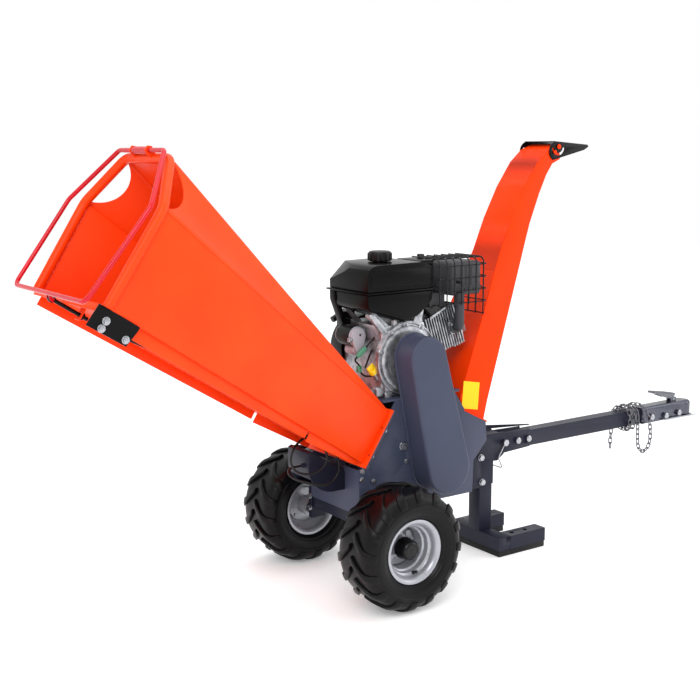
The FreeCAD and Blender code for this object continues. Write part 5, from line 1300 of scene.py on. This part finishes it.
# ---------------------------------------------------------------- stand and tow gear
@dataclass
class Stand(Assembly):
    """Front stand: stub, post, channel foot and rubber pads."""

    tube_edge: float = 2.0
    foot_edge: float = 0.8
    pad_edge: float = 2.0

    def build(self) -> None:
        """Soften the square tubes and the foot."""
        self.keep(Paints.DARK_SLATE, self.tube_edge, "stand_post", "stand_stub", degrees=40.0, segments=3)
        self.keep(Paints.DARK_SLATE, self.foot_edge, "stand_foot", segments=1)
        self.keep(Paints.PAD, self.pad_edge, "stand_pads")


@dataclass
class TowGear(Assembly):
    """Drawbar with its receiver, pin, coupler and safety chain.

    Attributes:
        latch: Place of the latch lever's root, x and z in millimetres.
        flange_low: Lowest corner of the bright zinc strip along the coupler's flange, a painted highlight.
        flange_high: Its highest corner.
        lever_half: Half the latch lever's width.
        lever_sheet: Thickness of the lever's side walls.
        plate_edge: Rounding of the receiver's cheeks.
        tube_edge: Rounding of the drawbar.
    """

    latch: Flat = (1650.0, 432.0)
    flange_low: Point = (1560.0, -44.2, 356.6)
    flange_high: Point = (1758.0, -42.7, 362.4)
    lever_half: float = 17.0
    lever_sheet: float = 2.4
    plate_edge: float = 0.8
    tube_edge: float = 1.5

    def build(self) -> None:
        """Soften the drawbar and the coupler's pieces."""
        self.keep(Paints.DARK_SLATE, self.plate_edge, "tow_receiver", segments=1)
        self.keep(Paints.DARK_SLATE, self.tube_edge, "tow_bar", degrees=40.0, segments=3)
        self.keep(Paints.ZINC, 0.0, "hitch_pin", degrees=40.0)
        self.keep(Paints.GUNMETAL, 0.0, "coupler_body", degrees=32.0)
        self.keep(Paints.ZINC, 0.0, "coupler_latch", degrees=32.0)
        self.keep(Paints.CHAIN, 0.0, "safety_chain", degrees=40.0)
        self.domes()
        self.lever()
        # painted highlight: a thin zinc strip for the light caught along the gloss black flange
        self.settle(block("flange_highlight", self.flange_low, self.flange_high, 0.5), Paints.ZINC, "coupler_body")

    def domes(self) -> None:
        """Cap the near bolts of drawbar and coupler with bright domes."""
        profile = [(0, 0), (12, 0), (12, 1), (9.6, 3.4), (5, 4.4), (0, 4.6)]
        bar = ((752.0, -40.2, 390.0), (805.0, -40.2, 390.0))
        coupler = ((1493.0, -39.2, 380.0), (1579.0, -39.2, 375.0), (1659.0, -39.2, 377.0))
        for beside, spots in (("tow_bar", bar), ("coupler_body", coupler)):
            caps = [lathe("dome", profile, spot, NEAR, 32) for spot in spots]
            self.settle(join(f"{beside}_domes", caps), Paints.ZINC, beside)

    def lever(self) -> None:
        """Press the latch lever's two side walls and its curled thumb end."""
        x, z = self.latch
        wall = [(x - 6, z + 10), (x + 2, z + 24), (x - 30, z + 32), (x - 124, z + 46), (x - 129, z + 42),
                (x - 88, z + 24), (x - 44, z + 9)]
        half, sheet = self.lever_half, self.lever_sheet
        walls = [prism("lever_wall", wall, y, y + sheet) for y in (-half, half - sheet)]
        back = [(x + 6, z + 25), (x - 30, z + 31), (x - 124, z + 46), (x - 124, z + 43.6), (x - 30, z + 28.6),
                (x + 5, z + 22.6)]
        plate = prism("lever_back", back, -half, half)
        curl = wire("curl", [(x - 126.0, -15.0, z + 43.0), (x - 126.0, 15.0, z + 43.0)], 4.0, sides=20)
        pieces = [soften(piece, 0.8, 2) for piece in walls + [plate]]
        self.settle(join("latch_lever", pieces + [curl]), Paints.CHAIN, "coupler_latch")


# ---------------------------------------------------------------- engine
@dataclass
class Engine(Assembly):
    """Single cylinder petrol engine: case, cylinder, tank, cleaner, muffler and starters.

    Attributes:
        shaft_x: Crankshaft's place along the machine, millimetres.
        shaft_z: Its height.
        lean: Slope of the cylinder's axis, degrees.
        seam_z: Height of the tank's seam.
        tank_near: Near side of the tank's shells.
        tank_far: Their far side.
        corner_cut: Way that the tank's cut rear corner faces.
        filler: Place of the filler neck, x and y.
        cap_ribs: Ribs round the fuel cap.
        muffler_low: Lowest corner of the muffler's box.
        muffler_high: Its highest corner.
        ribs: How many ribs stand on the muffler's near side.
        rib_pitch: Distance from rib to rib.
        louvres: How many louvres lie under them.
        louvre_pitch: Distance from louvre to louvre.
        port_s: Distance of the exhaust port from the crankshaft.
        port_y: Near face of the port.
        pipe: Radius of the exhaust pipe.
        cover_z: Height of the case cover's axis.
        cover_ring: Radius of the cover's bolt circle.
        cover_angles: Places of the cover's bolts, degrees from its top.
        starter_x: Starter motor's place along the machine.
        starter_z: Its height.
        eye: Place of the lug arm's eye, x and z.
        eye_radius: Radius of the arm round its eye.
        bosses: Places of the cast bosses, x and z.
        connector: Middle of the large lead connector.
        connector_lean: Its turn, degrees.
        lead: Radius of a lead.
        plug_foot: Foot of the oil plug.
        plug_axis: Way that the plug points.
        plug_lean: Turn of its grip, degrees.
        grip_foot: Foot of the grip.
        cast_edge: Rounding of castings.
        machined_edge: Rounding of machined pieces.
        pressed_edge: Rounding of pressed covers.
        cleaner_edge: Rounding of the air cleaner.
        handle_edge: Rounding of the recoil handle.
    """

    shaft_x: float = 168.0
    shaft_z: float = 786.0
    lean: float = 18.0
    seam_z: float = 1000.0
    tank_near: float = -120.0
    tank_far: float = 100.0
    corner_cut: Point = (-0.657, 0.2585, 0.7084)
    filler: Flat = (130.0, -10.0)
    cap_ribs: int = 12
    muffler_low: Point = (362.0, -112.0, 966.0)
    muffler_high: Point = (494.0, 2.0, 1082.0)
    ribs: int = 5
    rib_pitch: float = 23.0
    louvres: int = 3
    louvre_pitch: float = 38.0
    port_s: float = 238.0
    port_y: float = -92.3
    pipe: float = 17.0
    cover_z: float = 772.0
    cover_ring: float = 115.0
    cover_angles: tuple[float, ...] = (-74.0, -38.0, -4.0, 30.0, 62.0)
    starter_x: float = 34.0
    starter_z: float = 846.0
    eye: Flat = (216.0, 917.0)
    eye_radius: float = 9.5
    bosses: tuple[Flat, ...] = ((140.0, 868.0), (176.0, 868.0), (231.0, 868.0), (24.0, 924.0))
    connector: Point = (38.0, 0.0, 797.0)
    connector_lean: float = 52.0
    lead: float = 3.2
    plug_foot: Point = (52.2, -84.0, 731.2)
    plug_axis: Point = (-0.6, 0.0, 0.8)
    plug_lean: float = -36.87
    grip_foot: Point = (44.6, -84.0, 741.0)
    cast_edge: float = 1.5
    machined_edge: float = 0.5
    pressed_edge: float = 1.2
    cleaner_edge: float = 2.5
    handle_edge: float = 1.0

    def leaning(self, s: float, y: float, t: float) -> Point:
        """Turn a place along the leaning cylinder into machine coordinates.

        Args:
            s: Distance from the crankshaft along the cylinder, millimetres.
            y: Distance to the left.
            t: Distance square to the cylinder, upwards.

        Returns:
            The place in millimetres.
        """
        a = math.radians(self.lean)
        return (self.shaft_x + s * math.cos(a) - t * math.sin(a), y,
                self.shaft_z + s * math.sin(a) + t * math.cos(a))

    def build(self) -> None:
        """Build the engine's pieces from the case outwards."""
        self.keep(Paints.CAST, self.cast_edge, "engine_crankcase")
        self.keep(Paints.CAST, 0.0, "engine_cylinder")
        self.keep(Paints.GROUND, self.machined_edge, "engine_crankshaft")
        self.case_cover()
        self.tank()
        self.fuel_cap()
        self.muffler()
        self.keep(Paints.WIRE_BLACK, 0.0, "muffler_guard", degrees=40.0)
        self.keep(Paints.ABS_BLACK, self.cleaner_edge, "air_cleaner", degrees=35.0, segments=3)
        self.keep(Paints.ABS_BLACK, self.cast_edge, "blower_housing")
        self.keep(Paints.ABS_BLACK, self.pressed_edge, "recoil_starter")
        self.keep(Paints.ABS_BLACK, self.handle_edge, "recoil_handle")
        self.starter()
        self.brackets()
        self.rocker_plate()
        self.wiring()
        self.dipstick()
        self.keep(Paints.BLACK_COAT, self.machined_edge, "throttle_lever")

    def case_cover(self) -> None:
        """Spin the pulley side cover: a thin outer ridge, a broad raised band and a recess in dark cast iron
        as painted shade.
        """
        spot = (self.shaft_x, 0.0, self.cover_z)
        ring_z = self.cover_z + self.cover_ring
        profile = [(70, -98), (122.6, -98), (124, -100), (124, -114), (123, -117), (119.6, -117.6),
                   (117.6, -114.6), (116, -111.4), (112.4, -110.6), (110.4, -113.6), (108.6, -118.6),
                   (104, -121.4), (95, -121.8), (86.4, -120.6), (82.4, -116), (80.6, -106.4), (70, -105.8)]
        cover = lathe("case_cover", profile, spot, steps=96, degrees=30.0)
        lump = lathe("cover_lump", [(0, -104), (11, -104), (11, -117.4), (9.4, -119), (0, -119)],
                     (self.shaft_x, 0.0, ring_z), steps=24, degrees=40.0)
        lumps = ring(lump, self.cover_angles, spot)
        self.settle(join("case_cover", [cover] + lumps), Paints.CAST, "engine_crankcase")
        # painted shade: the recess is dressed in dark cast iron for the shadow under the belt guard
        dish = [(36, -99), (79.6, -99), (79.6, -104), (66, -106.4), (44, -107), (36, -112)]
        recess = lathe("case_recess_painted_shade", dish, spot, steps=72, degrees=30.0)
        self.settle(recess, Paints.IRON, "engine_crankcase")
        bolt = hex_bolt("case_bolt", (self.shaft_x, -119.2, ring_z), NEAR, 6.0)
        bolts = ring(bolt, self.cover_angles, spot)
        self.settle(join("case_cover_bolts", bolts), Paints.ZINC, "engine_crankcase")

    def starter(self) -> None:
        """Dress the starter and add its black sleeve, its screw and its bolted ear."""
        self.keep(Paints.PALE_GREY, self.pressed_edge, "starter_motor")
        x, z = self.starter_x, self.starter_z
        tube = [(33, -11.6), (34.6, -11.6), (35, -10), (35, 62), (33, 64)]
        sleeve = lathe("starter_sleeve", tube, (x, 0.0, z), steps=56)
        self.settle(sleeve, Paints.ABS_BLACK, "starter_motor")
        screw = lathe("starter_screw", [(0, -22), (3.4, -22), (3.4, -24), (2.4, -25), (0, -25)],
                      (x + 6.0, 0.0, z + 6.0), steps=20)
        self.settle(screw, Paints.ABS_GLOSS, "starter_motor")
        bolt = hex_bolt("starter_bolt", (x - 30.0, -21.0, z - 8.0), NEAR, 5.0)
        ear = block("starter_ear", (x - 40.0, -21.0, z - 16.0), (x - 22.0, -12.0, z), 3.0)
        self.settle(join("starter_bolt", [bolt, ear]), Paints.ZINC, "starter_motor")

    def brackets(self) -> None:
        """Cut the strut, post, bar and lug arm cast between case and cylinder, with bosses and lumps."""
        strut = prism("strut", [(14, 926), (34, 934), (104, 856), (86, 842)], -108.0, -90.0)
        post = prism("post", [(118, 846), (134, 846), (133, 905), (119, 905)], -104.0, -86.0)
        bar = prism("bar", [(112, 858), (236, 862), (236, 874), (112, 872)], -110.0, -88.0)
        x, z = self.eye
        turns = [math.radians(angle) for angle in range(0, 181, 30)]
        top = [(x + self.eye_radius * math.cos(turn), z + self.eye_radius * math.sin(turn)) for turn in turns]
        arm = prism("arm", [(223, 860)] + top + [(190, 862)], -108.0, -95.0)
        pin = [(0, -94), (7, -94), (7, -111), (5.6, -112.4), (0, -112.4)]
        boss = lathe("boss", pin, (x, 0.0, z), steps=28)
        foot = block("foot", (66.0, -106.0, 838.0), (128.0, -84.0, 872.0), 6.0, 3)
        stud = [(0, -86), (9, -86), (9, -112), (7.4, -113.6), (0, -113.6)]
        bosses = [lathe("boss", stud, (x, 0.0, z), steps=28) for x, z in self.bosses]
        cast = [soften(piece, 3.2, 3, 30.0) for piece in (strut, post, bar, arm)]
        self.settle(join("cast_brackets", cast + [boss, foot] + bosses), Paints.CAST, "engine_crankcase")
        boxes = (((34.0, -122.0, 656.0), (62.0, -100.0, 688.0), 5.0),
                 ((70.0, -122.0, 640.0), (100.0, -100.0, 668.0), 5.0),
                 ((8.0, -118.0, 662.0), (30.0, -100.0, 682.0), 4.0))
        lumps = [block("lump", low, high, edge, 3) for low, high, edge in boxes]
        self.settle(join("case_lumps", lumps), Paints.CAST, "engine_crankcase")

    def rocker_plate(self) -> None:
        """Lay the dark pressed plate over the rocker box, with a cast metal strip on its front edge as a
        painted highlight.
        """
        quad = [(274.0, -58.0, 921.0), (311.0, -58.0, 939.0), (346.0, -92.0, 930.0), (279.0, -92.0, 898.0)]
        plate = push(start_outline("rocker_plate", quad), (3.4, 2.0, -7.4))
        self.settle(soften(plate, 2.4, 3), Paints.ABS_GLOSS, "engine_cylinder")
        # painted highlight: a bright cast metal strip along the plate's front edge
        edge = [(279.0, -93.0, 899.0), (346.0, -93.0, 931.0), (346.0, -93.0, 924.0), (279.0, -93.0, 891.0)]
        strip = push(start_outline("rocker_edge_highlight", edge), (0.0, -4.0, -1.0))
        self.settle(soften(strip, 1.4, 2), Paints.CAST, "engine_cylinder")

    def wiring(self) -> None:
        """Route the starter's leads through their two green connectors."""
        plug = block("green_plug", (-7.0, -42.0, -19.0), (7.0, -28.0, 19.0), 2.6, 3)
        tail = block("green_tail", (-5.0, -40.0, -27.0), (5.0, -30.0, -17.0), 2.0, 2)
        green = ring(join("green_plug", [plug, tail]), (self.connector_lean,))[0]
        green.data.transform(Matrix.Translation(vec(self.connector)))
        small = block("green_small", (14.0, -48.0, 730.0), (30.0, -34.0, 752.0), 2.4, 3)
        self.settle(join("green_connectors", [green, small]), Paints.NYLON_GREEN, "engine_crankcase")
        runs = ([(92.0, -96.0, 878.0), (72.0, -60.0, 846.0), (54.0, -38.0, 812.0)],
                [(20.0, -36.0, 784.0), (4.0, -40.0, 772.0), (22.0, -46.0, 752.0), (24.0, -44.0, 730.0),
                 (38.0, -52.0, 716.0), (60.0, -60.0, 716.0)],
                [(100.0, -90.0, 872.0), (84.0, -58.0, 832.0), (66.0, -44.0, 790.0), (40.0, -50.0, 744.0)])
        leads = [wire("lead", run, self.lead, 0.4, sides=10) for run in runs]
        self.settle(join("starter_leads", leads), Paints.CABLE, "engine_crankcase")

    def dipstick(self) -> None:
        """Spin the oil plug and raise its rounded grip."""
        plug = lathe("dipstick_modelled", [(0, 0), (15.4, 0), (16, 0.8), (16, 12), (14.4, 14), (0, 14)],
                     self.plug_foot, self.plug_axis, 40)
        grip = ring(block("grip", (-15.0, -4.5, 0.0), (15.0, 4.5, 19.0), 3.0, 3), (self.plug_lean,))[0]
        grip.data.transform(Matrix.Translation(vec(self.grip_foot)))
        stick = join("dipstick_modelled", [plug, grip])
        self.settle(stick, Paints.NYLON_YELLOW, "oil_dipstick", "oil_dipstick")

    def tank(self) -> None:
        """Draw the two pressed shells, their seam flange, the hanger and the filler neck."""
        x, z = self.shaft_x, self.seam_z
        upper = [(x - 166, z + 3), (x + 105, z + 3), (x + 106, z + 62), (x + 98, z + 77), (x + 66, z + 90),
                 (x + 54, z + 92.6), (x - 128, z + 90), (x - 146, z + 86), (x - 160, z + 76),
                 (x - 167, z + 62)]
        lower = [(x - 166, z - 3), (x - 164, z - 46), (x - 156, z - 58), (x - 108, z - 74), (x - 30, z - 99),
                 (x - 16, z - 102), (x + 34, z - 90), (x + 48, z - 84), (x + 96, z - 44), (x + 103, z - 34),
                 (x + 105, z - 3)]
        top = prism("tank_top", upper, self.tank_near, self.tank_far)
        pick(top, lambda way: way.y < -0.9)
        raise_faces(13.0, 2.2)
        begin_edit(top)
        bpy.ops.mesh.bisect(plane_co=vec((x - 167, -55.0, z + 88)), plane_no=self.corner_cut, use_fill=True,
                            clear_outer=True)
        bpy.ops.object.mode_set(mode="OBJECT")
        soften(top, 5.0, 4, 25.0)
        base = prism("tank_base", lower, self.tank_near, self.tank_far)
        soften(base, 9.0, 4, 25.0)
        seam = block("tank_seam", (x - 176, self.tank_near - 8.0, z - 2.6),
                     (x + 113, self.tank_far + 8.0, z + 2.6), 1.2)
        strap = [(x - 170, z - 2), (x - 170, z - 34), (x - 133, z - 130), (x - 106, z - 136),
                 (x - 102, z - 106), (x - 128, z - 100), (x - 146, z - 42), (x - 146, z - 2)]
        hanger = prism("tank_hanger", strap, 66.0, 96.0)
        self.settle(soften(hanger, 2.5, 3), Paints.TANK_ENAMEL, "fuel_tank")
        collar = [(23, 60), (26, 60), (26, 94), (27.6, 95), (27.6, 99), (26, 100), (23, 100)]
        neck = lathe("tank_neck", collar, (*self.filler, z), UP, 40)
        tank = join("fuel_tank_modelled", [top, base, seam, neck])
        self.settle(tank, Paints.TANK_ENAMEL, "fuel_tank", "fuel_tank")

    def fuel_cap(self) -> None:
        """Spin the cap and raise the ribs round its skirt."""
        z0 = self.seam_z + 94.0
        profile = [(28.4, 0), (37, 0), (38, 1.5), (38, 27), (36.6, 30.4), (33, 32), (28, 32), (26, 30.6),
                   (10, 30.6), (0, 31), (0, 7), (28.4, 7)]
        x, y = self.filler
        cap = lathe("fuel_cap_modelled", profile, (x, y, z0), UP, 72, 30.0)
        rib = block("cap_rib", (x - 5.2, y - 41.4, z0 + 1.5), (x + 5.2, y - 34.0, z0 + 27), 3.2, 4)
        ribs = ring(rib, [360.0 / self.cap_ribs * i for i in range(self.cap_ribs)], (x, y, z0), UP)
        self.settle(join("fuel_cap_modelled", [cap] + ribs), Paints.ABS_BLACK, "fuel_cap", "fuel_cap")

    def muffler(self) -> None:
        """Draw the muffler's rounded box with ribs and louvres, and bend its pipe down to the port."""
        (x0, y0, z0), (x1, y1, z1) = self.muffler_low, self.muffler_high
        pieces = [block("muffler_body", self.muffler_low, self.muffler_high, 13.0, 5)]
        for i in range(self.ribs):
            x = x0 + 20 + i * self.rib_pitch
            pieces.append(block("rib", (x - 7.5, y0 - 2.4, z0 + 34), (x + 7.5, y0 + 2, z1 - 14), 2.2, 3))
        for i in range(self.louvres):
            x = x0 + 28 + i * self.louvre_pitch
            pieces.append(block("louvre", (x - 11, y0 - 3.0, z0 + 12), (x + 11, y0 + 2, z0 + 24), 2.4, 3))
        strap = block("strap", (x0 - 1.5, y0 - 1.5, z0 + 26), (x1 + 1.5, y1 + 1.5, z0 + 30), 1.2, 2)
        x, y, z = self.leaning(self.port_s, self.port_y, 0.0)
        pipe = wire("pipe", [(x, y0, z0 + 10), (x, y0, z), (x, y - 0.1, z)], self.pipe, 0.45, sides=32)
        flange = lathe("flange", [(0, 0), (26, 0), (26, 4.6), (24, 5), (0, 5)], (x, y, z), NEAR, 32)
        whole = join("muffler_modelled", pieces + [strap, pipe, flange])
        self.settle(whole, Paints.HEAT_BLACK, "muffler", "muffler")
        shield = block("heat_shield", (300.0, -66.0, 926.0), (x0 + 6, -8.0, z0 + 6), 4.0)
        self.settle(shield, Paints.HEAT_BLACK, "muffler")
        nuts = [hex_bolt("port_nut", (x + reach, y - 5.3, z + lift), NEAR, 5.0)
                for reach, lift in ((-20.0, 8.0), (20.0, -8.0))]
        self.settle(join("port_nuts", nuts), Paints.ZINC, "muffler")


def main() -> None:
    """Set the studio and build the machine's assemblies in order."""
    logging.basicConfig(level=logging.INFO, format="%(name)s: %(message)s")
    Studio().build()
    for assembly in (RunningGear(), RotorHousing(), BeltDrive(), Hopper(), StopGear(), Chute(), Engine(),
                     Stand(), TowGear()):
        assembly.build()


if __name__ == "__main__":
    main()
